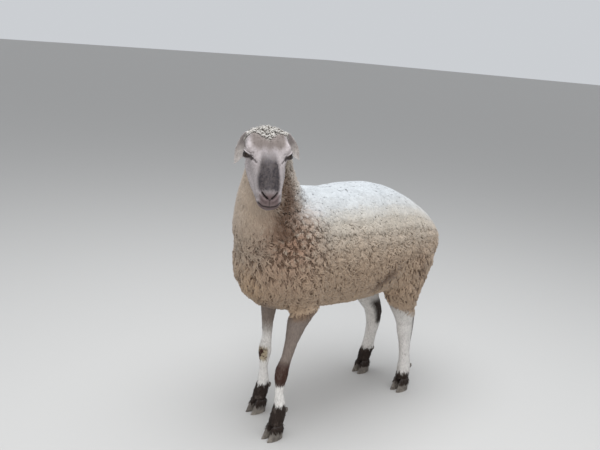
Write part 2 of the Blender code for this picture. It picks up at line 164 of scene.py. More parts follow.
# ---- shader expressions ----
class Value:
    """A shader socket that stands in a Python expression."""

    def __init__(self, painter, socket):
        self.painter = painter
        self.socket = socket

    def maths(self, operation, first, second):
        return self.painter.node("ShaderNodeMath", {"operation": operation}, (first, second))

    def __add__(self, other):
        return self.maths("ADD", self, other)

    def __sub__(self, other):
        return self.maths("SUBTRACT", self, other)

    def __rsub__(self, other):
        return self.maths("SUBTRACT", other, self)

    def __mul__(self, other):
        return self.maths("MULTIPLY", self, other)

    __radd__ = __add__
    __rmul__ = __mul__


class Painter:
    """One material under construction."""

    def __init__(self, name):
        self.material = bpy.data.materials.new(name)
        self.material.use_nodes = True
        self.tree = self.material.node_tree
        self.shader = self.tree.nodes["Principled BSDF"]

    def node(self, kind, settings=None, values=(), output=0):
        """Any node: its settings first, then its sockets by place or by name."""
        made = self.tree.nodes.new(kind)
        for name, setting in (settings or {}).items():
            setattr(made, name, setting)
        pairs = values.items() if isinstance(values, dict) else enumerate(values)
        for key, value in pairs:
            self.feed(made.inputs[key], value)
        return Value(self, made.outputs[output])

    def feed(self, socket, value):
        if isinstance(value, Value):
            self.tree.links.new(value.socket, socket)
        elif value is not None:
            wide = len(socket.default_value) if hasattr(socket.default_value, "__len__") else 0
            socket.default_value = (*value, 1.0)[:wide] if wide else value

    def attribute(self, name):
        return self.node("ShaderNodeAttribute", {"attribute_name": name}, output="Fac")

    def place(self):
        return self.node("ShaderNodeTexCoord", output="Object")

    def noise(self, vector, scale, detail=2.0, roughness=0.5):
        values = {"Vector": vector, "Scale": scale, "Detail": detail, "Roughness": roughness}
        return self.node("ShaderNodeTexNoise", {}, values)

    def stretch(self, value, low, high, to_low=0.0, to_high=1.0):
        settings = {"interpolation_type": "SMOOTHSTEP"}
        return self.node("ShaderNodeMapRange", settings, (value, low, high, to_low, to_high))

    def mix(self, share, first, second, blend="MIX"):
        """Blend two colours; share 0 gives the first."""
        settings = {"data_type": "RGBA", "blend_type": blend}
        values = {0: share, 6: first, 7: second}
        return self.node("ShaderNodeMix", settings, values, output=2)

    def layers(self, colour, *coats):
        """Lay coats of colour over one another, each with the share it takes."""
        for share, coat in coats:
            colour = self.mix(share, colour, coat)
        return colour

    def vector(self, *parts):
        return self.node("ShaderNodeCombineXYZ", {}, parts)

    def scaled(self, vector, by):
        return self.node("ShaderNodeVectorMath", {"operation": "MULTIPLY"}, (vector, by))

    def bump(self, height, strength, distance):
        values = {"Height": height, "Strength": strength, "Distance": distance}
        return self.node("ShaderNodeBump", {}, values)

    def finish(self, **sockets):
        for name, value in sockets.items():
            self.feed(self.shader.inputs[name.replace("_", " ")], value)
        return self.material


# ---- small numeric tools ----
def smoothstep(value, low, high):
    share = np.clip((value - low) / (high - low), 0.0, 1.0)
    return share * share * (3 - 2 * share)


def step_at(value, place, blur):
    """From 0 to 1 where the value passes the place; a negative blur goes from 1 to 0."""
    return smoothstep(value, place - blur, place + blur)


def bell(distance, width):
    return np.exp(-(distance / width) ** 2)


def unit(vectors):
    return vectors / np.maximum(np.linalg.norm(vectors, axis=-1, keepdims=True), 1e-9)


def tangent(vectors, normals):
    """The part of each vector that lies along the surface, one long."""
    along = vectors - normals * (vectors * normals).sum(-1, keepdims=True)
    return unit(along)


def near_line(points, line):
    """Distance from each point to a line of straight stretches."""
    line = np.asarray(line, float)
    best = np.full(len(points), np.inf)
    for a, b in zip(line, line[1:]):
        span = b - a
        share = np.clip(((points - a) @ span) / (span @ span), 0, 1)
        best = np.minimum(best, np.linalg.norm(points - a - share[:, None] * span, axis=1))
    return best


def window(value, opens, opened, closing, closed):
    """1 between two places on a scale, 0 outside them."""
    return smoothstep(value, opens, opened) * smoothstep(value, closed, closing)


def streak(points, line, width):
    """1 along a line, fading over the width."""
    return bell(near_line(points, line), width)


def spot(points, centre, width, stretch=(1, 1, 1)):
    """1 at a centre, fading over the width."""
    return bell(np.linalg.norm((points - centre) / stretch, axis=1), width)


def read(items, name, width=1, kind=np.float32):
    """One number or row for each item of a mesh."""
    found = np.empty(len(items) * width, kind)
    items.foreach_get(name, found)
    return found.reshape(-1, width) if width > 1 else found


def vertex_places(mesh):
    return read(mesh.vertices, "co", 3).astype(float)


def vertex_normals(mesh):
    return read(mesh.vertex_normals, "vector", 3).astype(float)


def edge_ends(mesh):
    return read(mesh.edges, "vertices", 2, np.int32)


def triangle_corners(mesh):
    mesh.calc_loop_triangles()
    return read(mesh.loop_triangles, "vertices", 3, np.int32)


def put_places(mesh, places):
    mesh.vertices.foreach_set("co", np.asarray(places, np.float32).ravel())
    mesh.update()


def put_attribute(mesh, name, values):
    layer = mesh.attributes.new(name, "FLOAT", "POINT")
    layer.data.foreach_set("value", np.asarray(values, np.float32))


def relax(ends, values, rounds, share=0.5):
    """Even out values over neighbouring vertices; share may differ from vertex to vertex."""
    a, b = ends[:, 0], ends[:, 1]
    count = len(values)
    degree = np.bincount(a, minlength=count) + np.bincount(b, minlength=count)
    degree = np.maximum(degree, 1)
    flat = values.reshape(count, -1)
    share = np.broadcast_to(np.asarray(share, float), (count,))
    for _ in range(rounds):
        mean = np.empty_like(flat)
        for i in range(flat.shape[1]):
            column = flat[:, i]
            mean[:, i] = (np.bincount(a, column[b], count) + np.bincount(b, column[a], count)) / degree
        flat = flat + (mean - flat) * share[:, None]
    return flat.reshape(values.shape)


# ---- objects ----
def new_object(name, mesh):
    obj = bpy.data.objects.new(name, mesh)
    bpy.context.scene.collection.objects.link(obj)
    return obj


def baked(obj):
    graph = bpy.context.evaluated_depsgraph_get()
    mesh = bpy.data.meshes.new_from_object(obj.evaluated_get(graph))
    obj.modifiers.clear()
    obj.data = mesh
    return obj


def mesh_of(bm, name):
    mesh = bpy.data.meshes.new(name)
    bm.to_mesh(mesh)
    bm.free()
    return mesh


def smooth(mesh):
    mesh.polygons.foreach_set("use_smooth", np.ones(len(mesh.polygons), bool))


def node_mesh(name):
    """A merged copy of a solid's mesh, as a bmesh."""
    bm = bmesh.new()
    bm.from_mesh(frame["nodes"][name].data)
    bmesh.ops.remove_doubles(bm, verts=bm.verts, dist=0.00002)
    return bm


def finish_piece(obj, material, nodes=()):
    obj.data.materials.clear()
    obj.data.materials.append(material)
    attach(obj, "root")
    if nodes:
        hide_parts(*nodes)


def eye_centre(side):
    return sum(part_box(f"eye_{side}"), Vector()) / 2


def head_matrix():
    """From the head's own frame to the whole model's."""
    turned = Matrix.Rotation(HEAD_TURN, 4, "Z") @ Matrix.Rotation(HEAD_DROOP, 4, "X")
    middle = (eye_centre("left") + eye_centre("right")) / 2
    origin = middle - turned.to_3x3() @ Vector((0, EYES_BEHIND_ORIGIN, 0))
    return Matrix.Translation(origin) @ turned


def in_head(places):
    """Places in the head's frame."""
    inverse = np.array(head_matrix().inverted())
    return places @ inverse[:3, :3].T + inverse[:3, 3]


def out_of_head(head):
    """Places from the head's frame to the whole model's."""
    matrix = np.array(head_matrix())
    return head @ matrix[:3, :3].T + matrix[:3, 3]


def from_head(vectors):
    """Directions out of the head's frame."""
    return vectors @ np.array(head_matrix())[:3, :3].T


def eye_in_head(side):
    return in_head(np.array([eye_centre(side)]))[0]


def eye_radius():
    low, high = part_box("eye_left")
    return (high.z - low.z) / 2


def eye_axes(side):
    """Out of an eye, and from it toward its inner corner."""
    mirror = np.array((SIDES[side], 1, 1))
    out = unit(EYE_AXIS * mirror)
    inner = EYE_SLANT * mirror
    return out, unit(inner - out * (inner @ out))


def ear_axes(side):
    """The middle of an ear, and its directions: to the tip, to the outer edge, out of its hollow."""
    head = in_head(vertex_places(frame["nodes"][f"ear_{side}"].data))
    middle = (head.min(0) + head.max(0)) / 2
    tip, edge, hollow = np.linalg.svd(head - head.mean(0), full_matrices=False)[2]
    tip = tip * (1 if tip[2] < 0 else -1)
    edge = edge * (1 if edge[0] * SIDES[side] > 0 else -1)
    hollow = hollow * (1 if hollow[1] < 0 else -1)
    return middle, np.stack((tip, edge, hollow))


def ear_places(head, node):
    """Each place along, across and through its ear; far away for all other places."""
    found = np.full((len(head), 3), 9.0)
    for side in SIDES:
        here = belongs(node, f"ear_{side}")
        middle, axes = ear_axes(side)
        found[here] = (head[here] - middle) @ axes.T
    return found


# ---- which piece of the body a place belongs to ----
class Body:
    """Looks up the solid nearest to a place."""

    def __init__(self):
        places, faces, self.face_node = [], [], []
        for index, name in enumerate(FLESH):
            mesh = frame["nodes"][name].data
            base = len(places)
            places.extend(vert.co.copy() for vert in mesh.vertices)
            for face in mesh.polygons:
                faces.append([base + i for i in face.vertices])
                self.face_node.append(index)
        self.tree = BVHTree.FromPolygons(places, faces)

    def node_of(self, places):
        found = [self.face_node[self.tree.find_nearest(Vector(p))[2]] for p in places]
        return np.array(found)


def belongs(node, *words):
    """True where a place's node has one of the words in its name."""
    chosen = [i for i, name in enumerate(FLESH) if any(word in name for word in words)]
    return np.isin(node, chosen)


# ---- coat and markings: each is a number from 0 to 1 at every place ----
THIGH_WOOL_END = (0.296, 0.362)        # height where the wool ends at the rear and at the front
INNER_THIGH_RISE = 0.085               # how much higher it ends on the inner side
FOREARM_WOOL_END = 0.388
WOOL_BLUR = 0.012
PASTERN_TOPS = (0.112, 0.101, 0.073, 0.098)    # fore left and right, hind left and right

# Painted shade in the wool's folds (beside the jaw, dark wool too): its weight, its width, whether the
# right side has it too, and its line.
FLANK_FOLD = ((0.150, 0.118, 0.505), (0.142, 0.097, 0.483), (0.133, 0.080, 0.464), (0.121, 0.074, 0.440))
UNDER_TAIL = ((0.060, 0.405, 0.50), (0.075, 0.375, 0.43))
BESIDE_JAW = ((0.070, -0.302, 0.81), (0.073, -0.300, 0.745), (0.086, -0.308, 0.680))
BESIDE_TAIL = ((0.150, 0.262, 0.545), (0.151, 0.272, 0.503), (0.147, 0.292, 0.470))
SHADE_STREAKS = ((1.0, 0.021, True, FLANK_FOLD), (0.9, 0.030, True, UNDER_TAIL),
                (1.0, 0.042, False, BESIDE_JAW), (1.0, 0.014, False, BESIDE_TAIL))


def face_plane(head):
    """Across and down the face, measured from the eyes' line."""
    return np.stack((head[:, 0], -(head @ FACE_UP)), axis=1)


def tongue_edge(across):
    """How far down the forehead the topknot's wool reaches."""
    return -0.036 - 0.62 * np.abs(across)


def wool_cover(places, normals, node, head):
    """1 where the fleece grows, 0 on short hair."""
    z = places[:, 2]
    low, high = (corner.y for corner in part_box("hindleg_left_thigh"))
    front = 1 - (places[:, 1] - low) / (high - low)
    inner = smoothstep(-normals[:, 0] * np.sign(places[:, 0] - BODY_MIDDLE), 0.0, 0.7)
    end = THIGH_WOOL_END[0] + (THIGH_WOOL_END[1] - THIGH_WOOL_END[0]) * front
    end = end + INNER_THIGH_RISE * inner
    across, down = face_plane(head).T
    crown = step_at(down, tongue_edge(across), -0.004)
    crown = np.maximum(crown, smoothstep(head[:, 1], 0.050, 0.060)) * smoothstep(head[:, 2], -0.045, -0.025)
    wool = belongs(node, "trunk", "neck", "tail").astype(float)
    for word, cover in (("thigh", step_at(z, end, WOOL_BLUR)),
                        ("forearm", step_at(z, FOREARM_WOOL_END, WOOL_BLUR)), ("head", crown)):
        wool = np.where(belongs(node, word), cover, wool)
    return wool


def wool_marks(places, normals, node):
    """The colours of the wool, from the white back to the painted shade in its folds and under the body."""
    y, z = places[:, 1], places[:, 2]
    neck, crown = belongs(node, "neck"), belongs(node, "head")
    up, behind = normals[:, 2], normals[:, 1]
    tan = smoothstep(z, 0.755, 0.48) * (1 - 0.35 * smoothstep(up, 0.2, 0.8))
    tan = np.where(neck, 0.50 + 0.15 * smoothstep(-behind, 0.0, 0.7), tan)
    nape = neck * smoothstep(behind, 0.0, 0.6) * smoothstep(z, 0.62, 0.75)
    withers = neck * smoothstep(y, -0.300, -0.200) * window(z, 0.66, 0.72, 0.76, 0.81)
    tan = tan * (1 - 0.2 * nape) * (1 - 0.9 * withers)
    cream = smoothstep(z, 0.775, 0.66) * (1 - 0.8 * smoothstep(up, 0.55, 0.95))
    cream = np.where(neck, (0.8 - 0.1 * nape) * (1 - 0.9 * withers), cream)
    brisket = spot(places, (-0.01, -0.345, 0.475), 0.075)
    ochre = np.maximum(0.60 * smoothstep(z, 0.485, 0.39), 0.8 * brisket)
    ochre = ochre * (1 - 0.6 * belongs(node, "tail", "thigh") - 0.9 * belongs(node, "forearm"))
    shoulder = spot(places, (0.100, -0.290, 0.640), 0.085, (1, 1, 1.25))
    far_shoulder = spot(places, (-0.130, -0.290, 0.640), 0.070, (1, 1, 1.25))
    # Painted shade under the chest and on the forearms' wool beneath the body, partly dark wool too.
    shade_and_dark_wool = 0.8 * spot(places, (0.020, -0.300, 0.425), 0.045) + 0.70 * belongs(node, "forearm")
    for weight, width, both, line in SHADE_STREAKS:
        shade_and_dark_wool = shade_and_dark_wool + weight * streak(places, line, width)
        if both:
            other = [(2 * BODY_MIDDLE - x, y, z) for x, y, z in line]
            shade_and_dark_wool = shade_and_dark_wool + weight * streak(places, other, width)
    return {"tan": np.where(crown, 0.22, tan), "cream": np.where(crown, 0.55, cream), "ochre": ochre,
            "russet": np.maximum(shoulder, 0.5 * far_shoulder), "shade_and_dark_wool": np.clip(shade_and_dark_wool, 0, 1)}


def face_marks(normals, node, head, on_head):
    """The nose stripe, the bare muzzle, the grey forehead, and the ears' hollows: their darker skin with
    painted shade.
    """
    face = face_plane(head)
    across, down = face.T
    wide = np.abs(across)
    front = smoothstep(normals @ from_head(np.array((0.0, -0.35, 0.94))), 0.15, 0.6)
    half = 0.021 + 0.007 * smoothstep(down, 0.0, 0.060) - 0.004 * smoothstep(down, 0.075, 0.105)
    stripe = window(down, -0.032, 0.034, 0.082, 0.110)
    stripe = stripe * step_at(np.abs(across + 0.002), half, -0.007) * front
    rims = np.maximum(streak(face, ((0.018, 0.030), (0.021, 0.088)), 0.007),
                      0.6 * streak(face, ((-0.026, 0.060), (-0.024, 0.090)), 0.007))
    stripe = np.clip(stripe * 0.92 + rims * 0.35 * front, 0, 1) * on_head
    muzzle = smoothstep(down, 0.088, 0.108) * on_head * smoothstep(head[:, 1], -0.085, -0.115)
    muzzle = muzzle * (1 - 0.7 * smoothstep(wide, 0.020, 0.031) * smoothstep(down, 0.135, 0.120))
    muzzle = muzzle * (1 - 0.45 * smoothstep(down, 0.138, 0.146))
    on_ear = belongs(node, "ear_").astype(float)
    reach = 0.028 + 0.016 * smoothstep(wide, 0.010, 0.030)
    brow = step_at(down - tongue_edge(across), reach, -0.011) * smoothstep(wide, 0.054, 0.038)
    along_ear, across_ear, _ = ear_places(head, node).T
    hollow = np.zeros(len(head))
    for side in SIDES:
        here = belongs(node, f"ear_{side}")
        hollow[here] = smoothstep(normals[here] @ from_head(ear_axes(side)[1][2]), 0.1, 0.5)
    # The ear's hollow near its root: its darker skin with painted shade.
    inner = on_ear * hollow * smoothstep(np.abs(across_ear), 0.0120, 0.0070)
    inner = inner * smoothstep(along_ear, 0.016, -0.020)
    return {"stripe": stripe, "muzzle": muzzle, "brow": brow * on_head * (1 - on_ear),
            "ear_hollow_skin_and_shade": inner, "ear_rim": on_ear * (1 - inner)}


def leg_marks(places, normals, node):
    """The dark pasterns, knees and hocks, and the grey of the upper legs."""
    x, y, z = places.T
    behind = normals[:, 1]
    fore, hind, left = belongs(node, "foreleg"), belongs(node, "hindleg"), x > BODY_MIDDLE
    top = np.select([fore & left, fore, hind & left], PASTERN_TOPS[:3], PASTERN_TOPS[3])
    ragged = 0.006 * np.sin(x * 310) * np.sin(y * 270)
    pastern = step_at(z + ragged, top, -0.005) * (fore | hind)
    knee = fore * left * window(z, 0.170, 0.182, 0.236, 0.266)
    stain = fore * ~left * window(z, 0.176, 0.190, 0.222, 0.238)
    stain = stain * smoothstep(-behind, -0.1, 0.4)
    rear = np.where(left, smoothstep(behind, 0.10, 0.60), smoothstep(behind, -0.45, 0.0))
    hock = hind * rear * window(z, 0.185, 0.205, 0.280, 0.310)
    arm = fore * np.where(left, smoothstep(z, 0.225, 0.250), smoothstep(z, 0.250, 0.330))
    arm = np.where(hind, 0.16 + 0.45 * smoothstep(z, 0.285, 0.375), arm)
    return {"pastern": pastern, "knee": knee, "stain": stain, "hock": hock, "arm": arm}


def markings(places, normals, node):
    """Every marking of the coat and skin at the given places."""
    head = in_head(places)
    on_head = belongs(node, "head", "ear_").astype(float)
    return {"wool": wool_cover(places, normals, node, head), **wool_marks(places, normals, node),
            "on_head": on_head, **face_marks(normals, node, head, on_head),
            **leg_marks(places, normals, node)}


def coat_colour(painter):
    """The colour of skin, hair and wool from the markings."""
    skin, fleece = bpy.context.scene.ewe_skin, bpy.context.scene.ewe_fleece
    mark, place = painter.attribute, painter.place()
    patch = painter.noise(place, 9.0, 3.0)
    fine = painter.noise(place, 60.0, 3.0, 0.6)
    dirt = painter.stretch(painter.noise(place, 34.0, 4.0, 0.65), 0.52, 0.75) * 0.35
    mottle = painter.stretch(painter.noise(place, 130.0, 3.0, 0.6), 0.35, 0.7) * 0.32
    wool = painter.layers(
        fleece.white, (mark("cream"), fleece.cream),
        (painter.stretch(mark("tan") + (patch - 0.5) * 0.35, 0.0, 1.0), fleece.tan),
        (painter.stretch(mark("ochre") + (patch - 0.5) * 0.30, 0.1, 1.0), fleece.ochre),
        (mark("russet") * painter.stretch(fine, 0.22, 0.58), fleece.russet),
        # Painted shade in the wool's folds and under the body, partly dark wool, in the fleece's depth
        # colour.
        (mark("shade_and_dark_wool") * painter.stretch(fine, 0.0, 0.5), fleece.root))
    leg = painter.layers(
        skin.shank, (mark("arm"), skin.forearm), (mark("stain") * 0.75, skin.stain),
        (mark("stain") * painter.stretch(fine, 0.50, 0.62), skin.knee),
        (mark("knee") * (patch * 0.5 + 0.70), skin.knee), (mark("hock"), skin.pastern),
        (mark("pastern"), skin.pastern), (dirt, skin.forearm))
    face = painter.layers(
        skin.face, (mark("brow"), skin.brow), (mark("stripe") * (fine * 0.4 + 0.85), skin.stripe),
        (mark("muzzle"), skin.muzzle), (mark("ear_rim"), skin.ear),
        # Darker skin and painted shade in the ears' hollows.
        (mark("ear_hollow_skin_and_shade") * 0.40, skin.brow), (mottle, skin.brow))
    return painter.layers(leg, (mark("on_head"), face), (mark("wool"), wool))


def hide_material():
    """The skin: bare face and legs, and the painted shade in the depth of the fleece."""
    painter = Painter("hide")
    mark, place = painter.attribute, painter.place()
    colour = painter.layers(coat_colour(painter),
                            # Painted shade: the skin under tan wool goes toward the fleece's depth colour.
                            (mark("wool") * mark("tan") * 0.20, bpy.context.scene.ewe_fleece.root),
                            # Painted shade in the face's grooves and nostrils, with the dark skin of the
                            # lid rims.
                            (mark("shade_and_dark_skin"), bpy.context.scene.ewe_skin.dark_skin_and_shade))
    hair = painter.noise(painter.scaled(place, (1.0, 1.0, 0.45)), 620.0, 3.0, 0.6)
    folds = painter.noise(place, 150.0, 3.0, 0.55)
    relief = painter.bump(hair * 0.7 + folds * 0.5, 0.35, 0.0008)
    return painter.finish(Base_Color=colour, Roughness=0.78 - mark("muzzle") * 0.22, Normal=relief,
                          Specular_IOR_Level=0.30, Sheen_Weight=0.05)


def lock_material(name, root_shade, relief_depth, sheen):
    """Wool and hair: painted shade toward the root and in the cracks between clumps, drawn into fibres
    along each lock.
    """
    painter = Painter(name)
    mark = painter.attribute
    along, across, lock = mark("along"), mark("across"), mark("lock")
    # Painted shade: toward each lock's root, and in the cracks between clumps (gap), its colour goes toward
    # the fleece's depth colour.
    depth = painter.stretch(along, 0.0, 0.55, root_shade, 0.0) * (mark("tan") * 0.9 + 0.1)
    colour = painter.mix(depth + mark("gap"), coat_colour(painter), bpy.context.scene.ewe_fleece.root)
    fibre_place = painter.vector(across * 5.0 + lock * 41.0, along * 1.3 + lock * 17.0, lock * 9.0)
    fibre = painter.noise(fibre_place, 2.4, 3.0, 0.65)
    shade = 0.80 + lock * 0.26 + (fibre - 0.5) * 0.50
    colour = painter.mix(1.0, colour, painter.vector(shade, shade, shade), "MULTIPLY")
    relief = painter.bump(fibre, 0.6, relief_depth)
    return painter.finish(Base_Color=colour, Roughness=0.88, Normal=relief,
                          Specular_IOR_Level=0.2, Sheen_Weight=sheen)


# ---- the skin ----
SWELL = 0.0005                         # growth that closes the cuts between the solids
EAR_SWELL = 0.0011
EAR_CURL = 0.015                       # radius to which the ears are bent
SKIN_TRIANGLES = 118000
HIDDEN, PLAIN, DETAILED = 0.0, 0.35, 1.0       # how fine the skin stays: under wool, on legs, on the head
FACE_BOX = (0.09, 0.035, -0.085)       # the finely shaped face: half its width, its back and its underside
CHIN = (0.124, 0.142)                  # between these places down the face the chin begins
CHIN_RISE = 0.0045


def whole_flesh(grid):
    """All flesh as one closed mesh: copies grown a little, so that the cuts close, then joined."""
    joined = bmesh.new()
    for name in FLESH + ["eye_left", "eye_right"]:
        bm = node_mesh(name)
        bm.normal_update()
        for vert in bm.verts:
            vert.co += vert.normal * (EAR_SWELL if name.startswith("ear") else SWELL)
        part = mesh_of(bm, "part")
        joined.from_mesh(part)
        bpy.data.meshes.remove(part)
    skin = new_object("skin", mesh_of(joined, "skin"))
    cells = skin.modifiers.new("cells", "REMESH")
    cells.mode = "VOXEL"
    cells.voxel_size = grid
    return baked(skin)


def thinned(skin, fine, triangles):
    """Fewer faces where the fleece hides them."""
    group = skin.vertex_groups.new(name="coarse")
    for level in (HIDDEN, PLAIN):
        group.add(np.flatnonzero(fine == level).tolist(), 1.0 - level, "REPLACE")
    step = skin.modifiers.new("thin", "DECIMATE")
    step.vertex_group = "coarse"
    step.vertex_group_factor = 1.0
    step.ratio = triangles / (2 * len(skin.data.polygons))
    step.use_collapse_triangulate = True
    baked(skin)
    skin.vertex_groups.clear()


def finer_where(skin, wanted):
    """Split the faces whose corners all ask for it."""
    bm = bmesh.new()
    bm.from_mesh(skin.data)
    bm.verts.ensure_lookup_table()
    edges = [edge for edge in bm.edges if wanted[edge.verts[0].index] and wanted[edge.verts[1].index]]
    bmesh.ops.subdivide_edges(bm, edges=edges, cuts=1, use_grid_fill=True)
    bmesh.ops.triangulate(bm, faces=[face for face in bm.faces if len(face.verts) > 3])
    bm.to_mesh(skin.data)
    bm.free()


def coat_depth(places, normals, node):
    """How far under the solid's surface the skin lies."""
    scene = bpy.context.scene
    z = places[:, 2]
    throat = smoothstep(-normals[:, 1], 0.1, 0.6) * smoothstep(z, 0.60, 0.72)
    share = 0.62 - 0.30 * smoothstep(normals[:, 2], 0.10, 0.65)
    for word, here in (("neck", 0.62 - 0.30 * throat), ("forearm", 0.25), ("head", 0.60),
                       ("thigh", 0.30 + 0.60 * smoothstep(z, 0.27, 0.42))):
        share = np.where(belongs(node, word), here, share)
    hair = scene.ewe_skin.hair_depth
    short = np.where(belongs(node, "ear_"), hair * 0.4 + EAR_SWELL, hair)
    wool = wool_cover(places, normals, node, in_head(places))
    return short + (scene.ewe_fleece.depth * share - short) * wool


def leg_swelling(places, node):
    """Knees and hairy pasterns stand out over the bones."""
    z = places[:, 2]
    knee = 0.0038 * bell(z - 0.207, 0.026) * belongs(node, "foreleg")
    pastern = 0.0030 * bell(z - 0.078, 0.026) * belongs(node, "pastern", "cannon")
    return knee + pastern


def trimmed(places):
    """Where the fleece is thin: the nape beside the withers and the rear of the lower thigh."""
    thigh = streak(places, ((0.125, 0.345, 0.42), (0.105, 0.325, 0.33)), 0.035)
    return 0.008 * spot(places, (0.055, -0.215, 0.800), 0.070) + 0.006 * thigh


def sunk_under_coat(mesh, body):
    """Sink the mesh under the coat; how fine each place of it is to stay."""
    places, ends = vertex_places(mesh), edge_ends(mesh)
    node = body.node_of(places)
    ear = belongs(node, "ear_")
    places = relax(ends, places, 8, np.where(ear, 0.12, 0.5))
    put_places(mesh, places)
    normals = unit(relax(ends, vertex_normals(mesh), 6))
    depth = relax(ends, coat_depth(places, normals, node), 10, np.where(ear, 0.0, 0.5))
    depth = depth - leg_swelling(places, node) + trimmed(places)
    put_places(mesh, places - normals * depth[:, None])
    wool = wool_cover(places, normals, node, in_head(places))
    bare = np.where(belongs(node, "head", "ear_"), DETAILED, PLAIN)
    return np.where(wool > 0.5, HIDDEN, bare)


def curl_ears(head, node):
    """Bend both edges of each ear toward its hollow, more so away from its root."""
    curled = head.copy()
    along, across, through = ear_places(head, node).T
    for side in SIDES:
        here = belongs(node, f"ear_{side}")
        middle, axes = ear_axes(side)
        bend = across[here] * 0.92 / EAR_CURL
        share = smoothstep(along[here], -0.050, -0.015)
        new_across = across[here] + (EAR_CURL * np.sin(bend) - across[here]) * share
        rise = EAR_CURL * (1 - np.cos(bend)) - 0.003
        new_through = through[here] * np.where(share > 0, 1 - 0.3 * share, 1) + rise * share
        flat = np.stack((along[here], new_across, new_through), axis=1)
        curled[here] = flat @ axes + middle
    return curled


LID_REACH = 0.014                      # how far from the eyeball the skin is moved
LID_THICKNESS = 0.0009
OPENING = (0.0120, 0.0054, 0.0062)     # half its width, half its height above and below
OPENING_DEPTH = 0.0035


def lids(head):
    """Move the skin round each eye: an opening, two lids over the ball and a crease above; dark lid rims,
    and painted shade in the crease and inside the opening.
    """
    moved = head.copy()
    shade_and_dark_skin = np.zeros(len(head))
    radius = eye_radius()
    for side, sign in SIDES.items():
        out, inner = eye_axes(side)
        above = np.cross(out, inner) * sign
        above = above if above[1] > 0 or above[2] > 0 else -above
        offset = moved - eye_in_head(side)
        reach = np.linalg.norm(offset, axis=1)
        near = np.flatnonzero((reach < radius + LID_REACH) & (offset @ out > -0.002))
        r = reach[near]
        way = offset[near] / r[:, None]
        s, t = way @ inner * radius, way @ above * radius
        half_height = np.where(t > -0.0008, OPENING[1], OPENING[2])
        measure = np.sqrt((s / OPENING[0]) ** 2 + ((t + 0.0008) / half_height) ** 2)
        inside = smoothstep(measure, 1.08, 0.86)
        lid = np.maximum(r, radius + LID_THICKNESS * (1 + bell(measure - 1.25, 0.28)))
        target = r + (lid - r) * smoothstep(measure, 2.4, 1.2)
        target = target + (radius - OPENING_DEPTH - target) * inside
        crease = bell(measure - 1.75, 0.16) * smoothstep(t, 0.0, 0.004)
        target = target - 0.0009 * crease
        moved[near] = eye_in_head(side) + way * target[:, None]
        # Dark skin of the lid rims, and painted shade in the crease above and inside the opening.
        rim = np.maximum(bell(measure - 1.05, 0.27), 0.45 * crease)
        shade_and_dark_skin[near] = np.maximum(shade_and_dark_skin[near], np.clip(rim + inside, 0, 1))
    return moved, shade_and_dark_skin


NOSTRIL = ((0.0200, 0.0975), (0.0150, 0.1050), (0.0065, 0.1120))
NOSE_SEAM = ((0.0065, 0.1120), (0.0, 0.1170))
NOSTRIL_WING = ((0.0235, 0.1010), (0.0200, 0.1110), (0.0100, 0.1190))
MOUTH = ((-0.0285, 0.1230), (-0.0180, 0.1345), (0.0, 0.1390), (0.0180, 0.1345), (0.0285, 0.1230))
PHILTRUM = ((0.0, 0.1190), (0.0, 0.1370))
TEAR = ((0.0480, 0.0060), (0.0430, 0.0130), (0.0345, 0.0230))
LIP_LINE = ((0.0300, -0.128, -0.036), (0.0385, -0.105, -0.044), (0.0430, -0.078, -0.052))
CHEEK_BONE = ((0.048, -0.012, -0.022), (0.040, -0.060, -0.026))
# Each with how far the skin sinks, over what width, how much painted shade it gets (the tear groove's is
# partly its dark skin), and over what width.
FEATURES = ((NOSTRIL, 0.0075, 0.0021, 1.2, 0.0024), (NOSTRIL_WING, -0.0022, 0.0030, 0.0, 0.0030),
            (NOSE_SEAM, 0.0016, 0.0017, 0.7, 0.0016), (MOUTH, 0.0028, 0.0019, 1.1, 0.0018),
            (PHILTRUM, 0.0012, 0.0016, 0.5, 0.0016), (TEAR, 0.0026, 0.0028, 0.75, 0.0026))


def carve_face(head, normals):
    """Nostrils, lips, tear grooves and the bones of the cheek, in the head's own frame, with painted shade
    in the nostrils and grooves.
    """
    across, down = face_plane(head).T
    across = np.abs(across)
    face = np.stack((across, down), axis=1)
    half = np.stack((across, head[:, 1], head[:, 2]), axis=1)
    front = smoothstep(normals @ (0.0, -0.58, 0.81), 0.0, 0.35) * (head[:, 1] < 0.02)
    low = 0.0022 * streak(half, LIP_LINE, 0.0026) - 0.0012 * streak(half, CHEEK_BONE, 0.008)
    # Painted shade in the lip line's groove.
    shade_and_dark_skin = 0.6 * streak(half, LIP_LINE, 0.0020)
    for line, sunk, width, shade, shade_width in FEATURES:
        away = near_line(face, line)
        low += sunk * bell(away, width) * front
        shade_and_dark_skin += shade * bell(away, shade_width) * front
    low -= 0.0016 * bell(near_line(face, MOUTH) - 0.0050, 0.0030) * front
    low += 0.0016 * bell(across - 0.021, 0.007) * window(down, 0.010, 0.035, 0.075, 0.098) * front
    return low, np.clip(shade_and_dark_skin, 0, 1)


